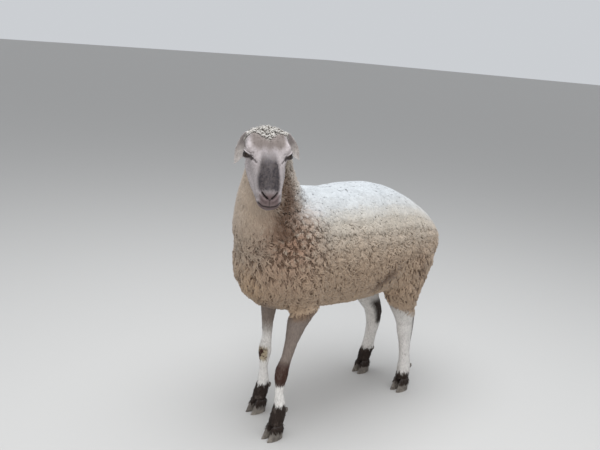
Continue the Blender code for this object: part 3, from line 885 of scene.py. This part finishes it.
class EWE_OT_skin(bpy.types.Operator):
    """Join all flesh into one skin under the coat and shape its face"""
    bl_idname = "ewe.skin"
    bl_label = "Skin"

    def execute(self, context):
        body = Body()
        skin = whole_flesh(context.scene.ewe_skin.grid)
        thinned(skin, sunk_under_coat(skin.data, body), SKIN_TRIANGLES)

        mesh = skin.data
        places = vertex_places(mesh)
        head = in_head(places)
        half, back, under = FACE_BOX
        detail = belongs(body.node_of(places), "head", "ear_") & (np.abs(head[:, 0]) < half)
        finer_where(skin, detail & (head[:, 1] < back) & (head[:, 2] > under))
        places, ends = vertex_places(mesh), edge_ends(mesh)
        node = body.node_of(places)
        on_head = belongs(node, "head", "ear_")
        places = relax(ends, places, 4, np.where(belongs(node, "head"), 0.5, 0.0))
        put_places(mesh, places)
        head = in_head(places)
        normals = vertex_normals(mesh) @ np.array(head_matrix())[:3, :3]
        low, shade_and_dark_skin = carve_face(head, normals)
        head, lid_shade_and_rims = lids(head - normals * (low * on_head)[:, None])
        head = curl_ears(head, node)
        chin = smoothstep(face_plane(head)[:, 1], *CHIN) * (head[:, 1] < -0.08)
        head = head + CHIN_RISE * chin[:, None] * FACE_UP
        places = np.where(on_head[:, None], out_of_head(head), places)
        put_places(mesh, places)
        smooth(mesh)

        normals = vertex_normals(mesh)
        for name, values in markings(places, normals, node).items():
            put_attribute(mesh, name, relax(ends, values, 3))
        put_attribute(mesh, "shade_and_dark_skin", np.maximum(shade_and_dark_skin, lid_shade_and_rims) * on_head)
        put_attribute(mesh, "coat", relax(ends, coat_depth(places, normals, node), 6))
        finish_piece(skin, hide_material(), FLESH)
        return {"FINISHED"}


# ---- roots of locks and tufts ----
class Ground:
    """The finished skin, and the named horn, as something to plant on."""

    def __init__(self, body, *horn):
        meshes = [bpy.data.objects[name].data for name in ("skin", *horn)]
        self.places = np.concatenate([vertex_places(mesh) for mesh in meshes])
        self.normals = np.concatenate([vertex_normals(mesh) for mesh in meshes])
        starts = np.cumsum([0] + [len(mesh.vertices) for mesh in meshes])
        corners = [triangle_corners(mesh) + start for mesh, start in zip(meshes, starts)]
        self.faces = np.concatenate(corners)
        coat, self.shade_and_dark_skin = (read(meshes[0].attributes[name].data, "value") for name in ("coat", "shade_and_dark_skin"))
        self.depth = np.zeros(len(self.places))
        self.depth[:len(coat)] = coat
        self.is_horn = np.arange(len(self.places)) >= len(coat)
        self.tree = BVHTree.FromPolygons(self.places.tolist(), self.faces.tolist())
        self.node = body.node_of(self.places)

    def scatter(self, chosen, spacing, rng):
        """Even random roots on the chosen faces, none closer than the spacing."""
        faces = self.faces[chosen]
        a, b, c = (self.places[faces[:, i]] for i in range(3))
        area = np.linalg.norm(np.cross(b - a, c - a), axis=1) / 2
        count = int(area.sum() / spacing ** 2 * 5)
        pick = rng.choice(len(faces), count, p=area / area.sum())
        u, v = rng.random((2, count))
        fold = u + v > 1
        u, v = np.where(fold, 1 - u, u), np.where(fold, 1 - v, v)
        weights = np.stack((1 - u - v, u, v), axis=1)
        roots = (self.places[faces[pick]] * weights[:, :, None]).sum(1)
        keep = spread(roots, spacing)
        pick, weights, roots = pick[keep], weights[keep], roots[keep]
        normals = unit((self.normals[faces[pick]] * weights[:, :, None]).sum(1))
        return roots, normals, faces[pick, 0]

    def settle(self, points, share, lift):
        """Put each point over the skin, at its share of the coat's depth there and its own lift."""
        found = [self.tree.find_nearest(point)[:3] for point in points.tolist()]
        feet = np.array([tuple(hit[0]) for hit in found])
        faces = self.faces[[hit[2] for hit in found]]
        normals = unit(self.normals[faces].mean(1))
        height = share * self.depth[faces].mean(1) + lift
        return feet + normals * height[:, None], normals


def spread(points, spacing):
    """Indices of points taken in turn, none closer than the spacing to one taken before."""
    cells = np.floor(points / spacing).astype(int).tolist()
    places = points.tolist()
    near = [(i, j, k) for i in (-1, 0, 1) for j in (-1, 0, 1) for k in (-1, 0, 1)]
    taken, keep, limit = {}, [], spacing * spacing
    for index, (cell, place) in enumerate(zip(cells, places)):
        free = True
        for i, j, k in near:
            for other in taken.get((cell[0] + i, cell[1] + j, cell[2] + k), ()):
                gap = sum((p - q) ** 2 for p, q in zip(place, other))
                if gap < limit:
                    free = False
                    break
            if not free:
                break
        if free:
            taken.setdefault(tuple(cell), []).append(place)
            keep.append(index)
    return np.array(keep)


# ---- one lock: rings of three points, a ridge outside and two edges ----
def lock_mesh(name, centres, outward, widths, thicknesses):
    """All locks of a piece as one mesh.  centres: locks x rings x 3."""
    locks, rings = centres.shape[:2]
    ahead = unit(np.gradient(centres, axis=1))
    side = unit(np.cross(ahead, outward))
    lift = np.cross(side, ahead)
    half = widths[:, :, None] / 2
    points = np.stack((centres - side * half, centres + lift * thicknesses[:, :, None],
                       centres + side * half), axis=2)
    index = np.arange(locks * rings * 3).reshape(locks, rings, 3)
    near, far = index[:, :-1], index[:, 1:]
    quads = [np.stack((near[..., i], far[..., i], far[..., j], near[..., j]), -1)
             for i, j in ((0, 1), (1, 2), (2, 0))]
    quads = np.stack(quads, 2).reshape(-1, 4)
    caps = np.concatenate((index[:, 0], index[:, -1, ::-1]))
    mesh = mesh_from(name, points.reshape(-1, 3), quads, caps)
    sharp_rims(mesh, rings)
    return mesh


def sharp_rims(mesh, rings):
    """Keep each lock's two long edges and two ends sharp, so that its outer face is lit as a ribbon."""
    ends = edge_ends(mesh)
    column, ring = ends % 3, (ends // 3) % rings
    long_edge = (column[:, 0] == column[:, 1]) & (column[:, 0] != 1)
    end_edge = (ring[:, 0] == ring[:, 1]) & np.isin(ring[:, 0], (0, rings - 1))
    layer = mesh.attributes.new("sharp_edge", "BOOLEAN", "EDGE")
    layer.data.foreach_set("value", long_edge | end_edge)


def mesh_from(name, points, quads, triangles):
    mesh = bpy.data.meshes.new(name)
    mesh.vertices.add(len(points))
    mesh.vertices.foreach_set("co", np.asarray(points, np.float32).ravel())
    corners = np.concatenate((quads.ravel(), triangles.ravel())).astype(np.int32)
    mesh.loops.add(len(corners))
    mesh.loops.foreach_set("vertex_index", corners)
    starts = np.concatenate((np.arange(len(quads)) * 4, len(quads) * 4 + np.arange(len(triangles)) * 3))
    mesh.polygons.add(len(starts))
    mesh.polygons.foreach_set("loop_start", starts.astype(np.int32))
    mesh.polygons.foreach_set("use_smooth", np.ones(len(starts), bool))
    mesh.update(calc_edges=True)
    return mesh


PATCH = 0.003                          # width of one lock's patch on the bake map


def bake_map(mesh, roots, rings):
    """The OFBake map: every lock unrolled in a small patch at its root's place."""
    low, high = roots.min(0), roots.max(0)
    spots = 0.01 + 0.98 * (roots - low) / (high - low)
    patch = np.stack(np.meshgrid((0.1, 0.5, 0.9), np.linspace(0, 1, rings)), axis=-1) * PATCH
    places = (spots[:, None, None] + patch).reshape(-1, 2)
    corners = read(mesh.loops, "vertex_index", 1, np.int32)
    layer = mesh.uv_layers.new(name="OFBake")
    layer.data.foreach_set("uv", places[corners].astype(np.float32).ravel())


def unrolled(roots, node):
    """The roots' places on the skin unrolled: along the body part and round it."""
    flat = np.zeros((len(roots), 2))
    for index in np.unique(node):
        here = node == index
        low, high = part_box(FLESH[index])
        middle = np.array((low + high) / 2)
        size = np.array(high - low)
        long_axis = int(np.argmax(size))
        others = [axis for axis in range(3) if axis != long_axis]
        offset = roots[here] - middle
        angle = np.arctan2(offset[:, others[0]], offset[:, others[1]])
        flat[here, 0] = angle * size[others].mean() / 2 + index
        flat[here, 1] = roots[here, long_axis]
    return flat


def finish_locks(name, material, centres, outward, widths, thick, roots, normals, node, gap, tone):
    """Make the mesh of one coat piece and give it its marks, map and finish."""
    rings = centres.shape[1]
    mesh = lock_mesh(name, centres, outward, widths, thick)
    for word, values in {**markings(roots, normals, node), "gap": gap, "lock": tone}.items():
        put_attribute(mesh, word, np.repeat(values, rings * 3))
    put_attribute(mesh, "along", np.tile(np.repeat(np.linspace(0, 1, rings), 3), len(roots)))
    put_attribute(mesh, "across", np.tile((0.0, 0.5, 1.0), len(roots) * rings))
    bake_map(mesh, unrolled(roots, node), rings)
    finish_piece(new_object(name, mesh), material)


def plant(names, material, *locks):
    """Make every coat piece from the locks that carry its name."""
    for name in sorted(set(names)):
        finish_locks(str(name), material, *(values[names == name] for values in locks))


def combed(lie, normals, angle):
    """Directions along the surface, turned about the normals."""
    return lie * np.cos(angle)[:, None] + np.cross(normals, lie) * np.sin(angle)[:, None]


# ---- the fleece ----
LOCK_RINGS = 6
WIDTH_ALONG = np.array((0.60, 0.95, 1.0, 0.95, 0.75, 0.16))
THICK_ALONG = np.array((0.60, 1.0, 1.0, 0.90, 0.65, 0.12))
CELL = 0.017                           # distance between the middles of two clumps of wool
TALL_CLUMP = (1.45, 1.45, 0.45)        # hanging clumps are narrow and tall
CROWN_CELL = 0.010
STRAY_SHARE = 0.04                     # share of thin locks that stand a little proud
STRAY_WIDTH = 0.35                     # their width, as a share of the others'
TIP_DIP = 0.93                         # the tips' height, as a share of the lock's
ROOT_DIP = 0.0012                      # how deep a lock starts in the skin
CRIMP = 0.0135                         # length of one wave of a lock
CRACKS = ((0.102, -0.275, 0.640), (-0.140, -0.278, 0.635))     # the shoulders, where the wool parts

# The wool's habit in each zone, and first where there is none of them.
#             length  lay  width   wave   curl aside clump gap  relief thick flat
COMMON = (0.022, 0.92, 0.0044, 0.0022, 0.9, 28, 0.36, 0.30, 0.26, 0.55, 2.4)
HABITS = {
    "back": (0.020, 0.95, 0.0080, 0.0006, 0.9, 24, 0.05, 0.00, 0.04, 0.13, 4.2),
    "chest": (0.036, 0.95, 0.0046, 0.0028, 0.4, 10, 0.50, 0.75, 0.42, 0.52, 2.3),
    "thigh": (0.034, 0.95, 0.0046, 0.0028, 0.5, 12, 0.50, 1.00, 0.50, 0.55, 2.2),
    "tail": (0.028, 0.95, 0.0046, 0.0022, 0.5, 14, 0.40, 0.80, 0.36, 0.50, 2.4),
    "throat": (0.021, 0.95, 0.0056, 0.0008, 0.2, 6, 0.06, 0.00, 0.08, 0.26, 3.6),
    "crown": (0.014, 0.55, 0.0050, 0.0012, 1.8, 55, 0.40, 0.00, 0.30, 0.42, 2.4),
    "cracked": (0.019, 0.65, 0.0046, 0.0014, 0.8, 26, 0.46, 1.00, 0.40, 0.50, 2.6),
    "forearm": (0.013, 0.95, 0.0036, 0.0005, 0.3, 14, 0.05, 0.00, 0.04, 0.14, 5.0),
}


def ripple(places, rng, length, count=7):
    """A smooth random field between about -1 and 1."""
    waves = unit(rng.normal(0, 1, (count, 3))) * (2 * math.pi / length)
    waves = waves * rng.uniform(0.6, 1.4, (count, 1))
    phases = rng.uniform(0, 2 * math.pi, count)
    return np.sin(places @ waves.T + phases).sum(1) / math.sqrt(count)


def wool_zones(roots, normals, node):
    """How much each root belongs to each zone of the fleece."""
    y, z = roots[:, 1], roots[:, 2]
    trunk, neck, tail = (belongs(node, word) for word in ("trunk", "neck", "tail"))
    chest = smoothstep(y, -0.23, -0.31) * smoothstep(z, 0.64, 0.56) * (trunk | neck)
    throat = neck * smoothstep(-normals[:, 1], -0.1, 0.5) * smoothstep(z, 0.60, 0.70)
    away = np.min([np.linalg.norm(roots - place, axis=1) for place in CRACKS], axis=0)
    return {
        "back": smoothstep(normals[:, 2], -0.10, 0.80) * (trunk | tail),
        "chest": chest * smoothstep(-normals[:, 1], 0.0, 0.5),
        "thigh": belongs(node, "thigh") | (trunk & (y > 0.10) & (z < 0.54)),
        "tail": tail, "throat": throat, "crown": belongs(node, "head"),
        "cracked": bell(away, 0.092) * (1 - throat), "forearm": belongs(node, "forearm"),
    }


def wool_lie(roots, normals, node):
    """The way the wool lies: down and back on the trunk, down the neck, chest, thigh and tail."""
    y = roots[:, 1]
    back = 0.50 * smoothstep(y, -0.30, -0.12) * (1 - 0.8 * smoothstep(y, 0.12, 0.25))
    way = np.stack((np.zeros(len(roots)), back + 0.02, -np.ones(len(roots))), axis=1)
    way[belongs(node, "neck")] = (0.0, 0.30, -0.95)
    way[belongs(node, "tail")] = (0.0, 0.05, -1.0)
    way[belongs(node, "head")] = from_head(np.array((0.0, -0.6, 0.3)))
    return tangent(way, normals)


class Clumps:
    """The middles of the clumps of wool, and what the locks of one clump share."""

    def __init__(self, roots, normals, spacing, rng, shape=(1.0, 1.0, 1.0)):
        warp = np.stack([ripple(roots, rng, 0.035) for _ in range(3)], axis=1)
        places = (roots + warp * spacing * 0.30) * shape
        chosen = spread(places, spacing)
        middles = roots[chosen]
        tree = KDTree(len(middles))
        for i, middle in enumerate(places[chosen]):
            tree.insert(middle, i)
        tree.balance()
        found = [tree.find_n(place, 2) for place in places.tolist()]
        clump = np.array([pair[0][1] for pair in found])
        near, second = (np.array([pair[i][2] for pair in found]) for i in (0, 1))
        self.apart = near / spacing
        self.border = (second - near) / 2
        toward = middles[clump] - roots
        self.toward = toward - normals * (toward * normals).sum(1, keepdims=True)
        draws = rng.random((4, len(middles)))
        self.phase, self.turn, self.height, self.tone = draws[:, clump]


def wool_paths(ground, roots, normals, node, rng):
    """The centre line of every lock, its outward directions, width, gap and tone."""
    count = len(roots)
    zones = wool_zones(roots, normals, node)
    style = np.tile(COMMON, (count, 1))
    for zone, habit in HABITS.items():
        style = style + (np.array(habit) - style) * zones[zone][:, None]
    length, lay, width, wave, curl, aside, clumping, gappy, relief, thick, flat = style.T
    clumps = Clumps(roots, normals, CELL, rng)
    fine = Clumps(roots, normals, CROWN_CELL, rng)
    tall = Clumps(roots, normals, CELL, rng, TALL_CLUMP)
    crown = zones["crown"]
    hanging = (zones["chest"] > 0.5) | zones["thigh"] | zones["tail"]
    for other, here in ((fine, crown), (tall, hanging)):
        for name, values in vars(other).items():
            getattr(clumps, name)[here] = values[here]

    length = length * rng.uniform(0.80, 1.20, count)
    turn = rng.normal(0, 0.6, count) + (clumps.turn - 0.5) * 1.6 + ripple(roots, rng, 0.11) * 0.9
    lie = combed(wool_lie(roots, normals, node), normals, turn * np.radians(aside))
    across = np.cross(normals, lie)

    share = np.linspace(0, 1, LOCK_RINGS)
    hand = np.where(rng.random(count) < 0.25 + 0.5 * (clumps.phase > 0.5), 1.0, -1.0)
    bend = curl * hand * rng.uniform(0.5, 1.3, count)
    angle = bend[:, None] * share ** 1.4
    step = (length * lay / (LOCK_RINGS - 1))[:, None] * (0.3 + 1.2 * share)
    forward = np.cumsum(np.cos(angle) * step, axis=1)
    sideways = np.cumsum(np.sin(angle) * step, axis=1)
    phase = (clumps.phase * 2 * math.pi + rng.normal(0, 0.7, count))[:, None]
    waves = (length / CRIMP * rng.uniform(0.85, 1.15, count))[:, None]
    swing = 2 * math.pi * waves * share + phase
    rise = np.cos(swing) * wave[:, None] * 0.6
    swing = np.sin(swing) * wave[:, None] * np.minimum(1, share * 3)
    lines = (roots[:, None] + lie[:, None] * forward[:, :, None]
             + across[:, None] * (sideways + swing)[:, :, None]
             + clumps.toward[:, None] * (clumping[:, None] * share ** 1.2)[:, :, None])
    cushion = 1 - relief * (1.6 * clumps.apart ** 2 + 0.6 * (clumps.height - 0.5))
    crack = smoothstep(clumps.border, 0.0028 + 0.0014 * gappy, 0.0008)
    full = cushion * rng.uniform(0.92, 1.0, count) * (1 - 0.45 * crack * gappy)
    loose = np.where(crown, 1.75, np.clip(gappy / 0.30, 0, 1))
    stray = rng.random(count) < STRAY_SHARE * loose
    full = np.where(stray, full + 0.09 + 0.25 * crown, full)
    width = np.where(stray, width * STRAY_WIDTH, width)
    rising = full[:, None] * (1 - (1 - share) ** flat[:, None])
    rising[:, -1] *= TIP_DIP
    lift = rise * np.minimum(1, share * 2) - ROOT_DIP
    lift[:, 0] -= 0.001
    places, outward = ground.settle(lines.reshape(-1, 3), rising.ravel(), lift.ravel())
    # Painted shade in the cracks between clumps and toward each clump's edge.
    gap = gappy * np.maximum(0.85 * crack, 0.12 * smoothstep(clumps.apart, 0.45, 0.8))
    tone = 0.5 * clumps.tone + 0.5 * rng.random(count)
    return places.reshape(lines.shape), outward.reshape(lines.shape), width, thick, gap, tone


TRUNK_BANDS = ((-0.20, "breast"), (-0.06, "shoulder"), (0.07, "ribs"), (0.20, "loin"), (0.30, "hip"))


def fleece_piece_of(roots, node):
    """Which coat piece each root belongs to."""
    x, y = roots[:, 0], roots[:, 1]
    side = np.where(x > BODY_MIDDLE, "left", "right")
    bands = np.select([y < end for end, _ in TRUNK_BANDS], [name for _, name in TRUNK_BANDS], "rump")
    names = np.array([f"wool_trunk_{band}_{word}" for band, word in zip(bands, side)], "U40")
    names[belongs(node, "tail")] = "wool_tail"
    names[belongs(node, "head")] = "wool_crown"
    for word in SIDES:
        names[belongs(node, "neck") & (side == word)] = f"wool_neck_{word}"
        names[belongs(node, f"hindleg_{word}_thigh")] = f"wool_thigh_{word}"
    return names


class EWE_OT_fleece(bpy.types.Operator):
    """Plant the wool in overlapping curly locks"""
    bl_idname = "ewe.fleece"
    bl_label = "Fleece"

    def execute(self, context):
        settings = context.scene.ewe_fleece
        rng = np.random.default_rng(settings.seed)
        ground = Ground(Body())
        wool = wool_cover(ground.places, ground.normals, ground.node, in_head(ground.places))
        chosen = wool[ground.faces].mean(1) > 0.45
        roots, normals, corner = ground.scatter(chosen, settings.spacing, rng)
        node = ground.node[corner]
        lines, outward, width, thick, gap, tone = wool_paths(ground, roots, normals, node, rng)
        size = width * settings.width * rng.uniform(0.8, 1.2, len(roots))
        plant(fleece_piece_of(roots, node), lock_material("fleece", 0.34, 0.0014, 0.25), lines, outward,
              size[:, None] * WIDTH_ALONG, (size * thick)[:, None] * THICK_ALONG,
              roots, normals, node, gap, tone)
        return {"FINISHED"}


# ---- short hair ----
HAIR_RINGS = 3
HAIR_WIDTH_ALONG = np.array((0.7, 1.0, 0.12))
HAIR_WIDTH, HAIR_THICKNESS = 0.42, 0.12        # of a tuft's length, and of its width
CLAW_TOP = 0.060                       # above this height horn is a dewclaw's
CORONET_HAIR_END = 0.029               # height where the hair over the hooves ends
SHAGGY_BELOW = (0.115, 0.095)          # heights between which the hair of the pasterns grows shaggy
EYE_BARE = 0.017                       # no hair nearer than this to the middle of an eye


def hair_lie(roots, normals, node):
    """Down the legs, down the nose, back along the cheeks and out along the ears."""
    way = np.tile((0.0, 0.0, -1.0), (len(roots), 1))
    nose = from_head(np.array((0.0, -1.0, 0.0)))
    cheek = from_head(np.array((0.0, 0.75, -0.65)))
    bridge = smoothstep(np.abs(in_head(roots)[:, 0]), 0.040, 0.026)[:, None]
    on_head = belongs(node, "head")
    way[on_head] = (nose * bridge + cheek * (1 - bridge))[on_head]
    for side, sign in SIDES.items():
        way[belongs(node, f"ear_{side}")] = from_head(np.array((0.30 * sign, 0.0, -0.9)))
    return tangent(way, normals)


class EWE_OT_hair(bpy.types.Operator):
    """Plant tufts of short hair on the face, ears and legs"""
    bl_idname = "ewe.hair"
    bl_label = "Short hair"

    def execute(self, context):
        settings = context.scene.ewe_hair
        rng = np.random.default_rng(settings.seed)
        ground = Ground(Body(), *[f"horn_{name}" for name in HORN if "dew" not in name])
        marks = markings(ground.places, ground.normals, ground.node)
        from_eye = np.abs(in_head(ground.places)) - np.abs(eye_in_head("left"))
        bare = (marks["muzzle"] > 0.4) | (np.linalg.norm(from_eye, axis=1) < EYE_BARE)
        bare[:len(ground.shade_and_dark_skin)] |= ground.shade_and_dark_skin > 0.3
        sole = (ground.normals[:, 2] < -0.5) & (ground.places[:, 2] < SHAGGY_BELOW[0])
        bare |= sole & ~ground.is_horn
        chosen = (marks["wool"][ground.faces].mean(1) <= 0.5) & ~bare[ground.faces].any(1)
        roots, normals, corner = ground.scatter(chosen, settings.spacing, rng)
        coronet = (roots[:, 2] > CORONET_HAIR_END) & (np.abs(normals[:, 2]) < 0.80)
        keep = ~ground.is_horn[corner] | coronet
        roots, normals, node = roots[keep], normals[keep], ground.node[corner[keep]]
        count = len(roots)
        lie = combed(hair_lie(roots, normals, node), normals, rng.normal(0, 0.22, count))
        shaggy = smoothstep(roots[:, 2], *SHAGGY_BELOW)
        size = np.select([belongs(node, "head"), belongs(node, "ear_")], [0.62, 0.58], 1.0)
        size = size + 0.15 * shaggy
        length = settings.length * size * rng.uniform(0.7, 1.3, count)
        share = np.linspace(0, 1, HAIR_RINGS)
        stand = rng.uniform(0.0004, 0.0010, count) * (0.6 + 0.5 * size) * (1 + 1.6 * shaggy)
        heights = np.outer(stand, share ** 0.8)
        heights[:, 0] = -0.0003
        lines = (roots[:, None] + lie[:, None] * (length[:, None] * share)[:, :, None]
                 + normals[:, None] * heights[:, :, None])
        widths = (length * HAIR_WIDTH)[:, None] * HAIR_WIDTH_ALONG
        names = np.where(belongs(node, "foreleg"), "hair_forelegs", "hair_hindlegs")
        names = np.where(belongs(node, "head", "ear_"), "hair_face", names)
        outward = np.repeat(normals[:, None], HAIR_RINGS, axis=1)
        plant(names, lock_material("short_hair", 0.0, 0.0003, 0.05), lines, outward, widths,
              widths * HAIR_THICKNESS, roots, normals, node, np.zeros(count), rng.random(count))
        return {"FINISHED"}


# ---- eyes and hooves ----
EYE_CLEARANCE = 0.0003                 # how much smaller the eyeball is than the solid one
EYE_SET_BACK = 0.0016                  # how far it sits behind the solid one
CORNEA = (0.045, 0.55)                 # how far it bulges, and over what angle
PUPIL = (0.42, 0.17)                   # half its width and height, for an eye of radius 1


def eye_material():
    settings = bpy.context.scene.ewe_eyes
    painter = Painter("eye")
    edge = painter.stretch(painter.attribute("ring"), 0.55, 0.70)
    pupil = painter.stretch(painter.attribute("slot"), 0.9, 0.6)
    streaks = painter.stretch(painter.noise(painter.place(), 900.0, 2.0), 0.5, 0.8) * 0.3
    colour = painter.layers(settings.iris, (edge, settings.white), (pupil, (0.004, 0.004, 0.005)),
                            (streaks, (0.01, 0.006, 0.004)))
    return painter.finish(Base_Color=colour, Roughness=0.22, Specular_IOR_Level=0.25,
                          Coat_Weight=0.15, Coat_Roughness=0.04)


class EWE_OT_eyes(bpy.types.Operator):
    """Make both eyeballs with a level pupil and a clear bulge"""
    bl_idname = "ewe.eyes"
    bl_label = "Eyes"

    def execute(self, context):
        material = eye_material()
        radius = eye_radius() - EYE_CLEARANCE
        for side in SIDES:
            out, inner = eye_axes(side)
            bm = bmesh.new()
            bmesh.ops.create_uvsphere(bm, u_segments=40, v_segments=28, radius=1.0)
            mesh = mesh_of(bm, f"eyeball_{side}")
            ball = vertex_places(mesh)
            off_axis = np.arccos(np.clip(ball[:, 2], -1, 1))
            bulge = 1 + CORNEA[0] * bell(off_axis, CORNEA[1])
            put_attribute(mesh, "ring", off_axis)
            pupil = np.sqrt((ball[:, 0] / PUPIL[0]) ** 2 + (ball[:, 1] / PUPIL[1]) ** 2)
            put_attribute(mesh, "slot", np.where(ball[:, 2] > 0, pupil, 9.0))
            axes = np.stack((inner, np.cross(out, inner), out))
            local = (ball * bulge[:, None]) @ axes * radius + eye_in_head(side) - out * EYE_SET_BACK
            put_places(mesh, out_of_head(local))
            whole = bmesh.new()
            whole.from_mesh(mesh)
            bmesh.ops.recalc_face_normals(whole, faces=whole.faces)
            whole.to_mesh(mesh)
            whole.free()
            smooth(mesh)
            finish_piece(new_object(f"eyeball_{side}", mesh), material, [f"eye_{side}"])
        return {"FINISHED"}


HOOF_ROUNDING = 0.0012
HOOF_EDGE_ANGLE = math.radians(35)     # only edges sharper than this are rounded


def hoof_material():
    settings = bpy.context.scene.ewe_hooves
    painter = Painter("hoof_horn")
    place = painter.place()
    rings = painter.noise(painter.scaled(place, (0.25, 0.25, 1.0)), 420.0, 2.0)
    cloud = painter.noise(place, 70.0, 4.0, 0.6)
    height = painter.node("ShaderNodeSeparateXYZ", {}, (place,), output="Z")
    dusty = painter.stretch(height, 0.030, 0.0, 0.15, 0.75) * painter.stretch(cloud, 0.35, 0.65)
    ragged = height + (cloud - 0.5) * 0.012
    hairy = painter.stretch(ragged, CORONET_HAIR_END - 0.003, CORONET_HAIR_END + 0.004)
    hairy = hairy * painter.stretch(height, CLAW_TOP + 0.003, CLAW_TOP)
    colour = painter.layers(settings.horn, (dusty, settings.dust),
                            (painter.stretch(rings, 0.5, 0.8) * 0.35, settings.dust),
                            (hairy, bpy.context.scene.ewe_skin.pastern))
    relief = painter.bump(rings + cloud * 0.5, 0.4, 0.0012)
    return painter.finish(Base_Color=colour, Roughness=0.62, Normal=relief)


class EWE_OT_hooves(bpy.types.Operator):
    """Round the claws and dewclaws and give them their horn"""
    bl_idname = "ewe.hooves"
    bl_label = "Hooves"

    def execute(self, context):
        material = hoof_material()
        for name in HORN:
            piece = new_object(f"horn_{name}", mesh_of(node_mesh(name), f"horn_{name}"))
            round_off = piece.modifiers.new("round", "BEVEL")
            round_off.width = HOOF_ROUNDING
            round_off.segments = 2
            round_off.limit_method = "ANGLE"
            round_off.angle_limit = HOOF_EDGE_ANGLE
            baked(piece)
            smooth(piece.data)
            finish_piece(piece, material, [name])
        return {"FINISHED"}


# ---- stage ----
CAMERA_PLACE = (1.5231, -1.6323, 1.1700)
CAMERA_HEADING = math.radians(46.165)
CAMERA_PITCH = math.radians(13.8)
CAMERA_ROLL = math.radians(4.5)
SENSOR_WIDTH = 36.0
FLOOR_SIZE = 60.0
SKY_COLOUR, SKY_STRENGTH = (0.88, 0.91, 0.95, 1.0), 0.68
# Name, place, target, size, power and colour of each lamp.
LIGHTS = (("overhead", (0.3, -0.3, 3.4), (0, 0, 0.4), 3.2, 120.0, (0.94, 0.97, 1.0)),
          ("front", (2.6, -2.6, 2.0), (0, 0, 0.5), 2.0, 34.0, (1.0, 0.97, 0.93)))


def area_light(name, place, target, size, power, colour):
    light = bpy.data.lights.new(name, "AREA")
    light.shape = "DISK"
    light.size = size
    light.energy = power
    light.color = colour
    lamp = bpy.data.objects.new(name, light)
    bpy.context.scene.collection.objects.link(lamp)
    lamp.location = place
    lamp.rotation_euler = (Vector(target) - Vector(place)).to_track_quat("-Z", "Y").to_euler()


class EWE_OT_stage(bpy.types.Operator):
    """Set the floor, the soft light and the camera"""
    bl_idname = "ewe.stage"
    bl_label = "Stage"

    def execute(self, context):
        settings = context.scene.ewe_stage
        bm = bmesh.new()
        bmesh.ops.create_grid(bm, x_segments=1, y_segments=1, size=FLOOR_SIZE)
        mesh = mesh_of(bm, "floor")
        floor = new_object("floor", mesh)
        painter = Painter("floor")
        mesh.materials.append(painter.finish(Base_Color=tuple(settings.floor), Roughness=0.9))
        world = bpy.data.worlds.new("studio")
        context.scene.world = world
        world.use_nodes = True
        background = world.node_tree.nodes["Background"]
        background.inputs["Color"].default_value = SKY_COLOUR
        background.inputs["Strength"].default_value = SKY_STRENGTH
        for light in LIGHTS:
            area_light(*light)
        view = bpy.data.cameras.new("camera")
        view.lens = settings.lens
        view.sensor_width = SENSOR_WIDTH
        camera = bpy.data.objects.new("camera", view)
        context.scene.collection.objects.link(camera)
        turned = (Matrix.Rotation(CAMERA_HEADING, 4, "Z")
                  @ Matrix.Rotation(math.pi / 2 - CAMERA_PITCH, 4, "X")
                  @ Matrix.Rotation(CAMERA_ROLL, 4, "Z"))
        camera.matrix_world = Matrix.Translation(CAMERA_PLACE) @ turned
        context.scene.camera = camera
        context.scene.view_settings.view_transform = "Standard"
        return {"FINISHED"}


# ---- panel and registration ----
OPERATORS = (EWE_OT_skin, EWE_OT_fleece, EWE_OT_hair, EWE_OT_eyes, EWE_OT_hooves, EWE_OT_stage)


class EWE_PT_panel(bpy.types.Panel):
    """The steps that build the ewe, and their settings"""
    bl_idname = "EWE_PT_panel"
    bl_label = "Standing ewe"
    bl_space_type = "VIEW_3D"
    bl_region_type = "UI"
    bl_category = "Ewe"

    def draw(self, context):
        for operator in OPERATORS:
            self.layout.operator(operator.bl_idname)
        for name, group in GROUPS.items():
            box = self.layout.box()
            box.label(text=group.__name__)
            for prop in group.__annotations__:
                box.prop(getattr(context.scene, name), prop)


CLASSES = (*GROUPS.values(), *OPERATORS, EWE_PT_panel)


def register():
    for item in CLASSES:
        bpy.utils.register_class(item)
    for name, group in GROUPS.items():
        setattr(bpy.types.Scene, name, PointerProperty(type=group))


def unregister():
    for name in GROUPS:
        delattr(bpy.types.Scene, name)
    for item in reversed(CLASSES):
        bpy.utils.unregister_class(item)


def main():
    register()
    bpy.ops.ewe.skin()
    bpy.ops.ewe.fleece()
    bpy.ops.ewe.eyes()
    bpy.ops.ewe.hooves()
    bpy.ops.ewe.hair()
    bpy.ops.ewe.stage()


if __name__ == "__main__":
    main()
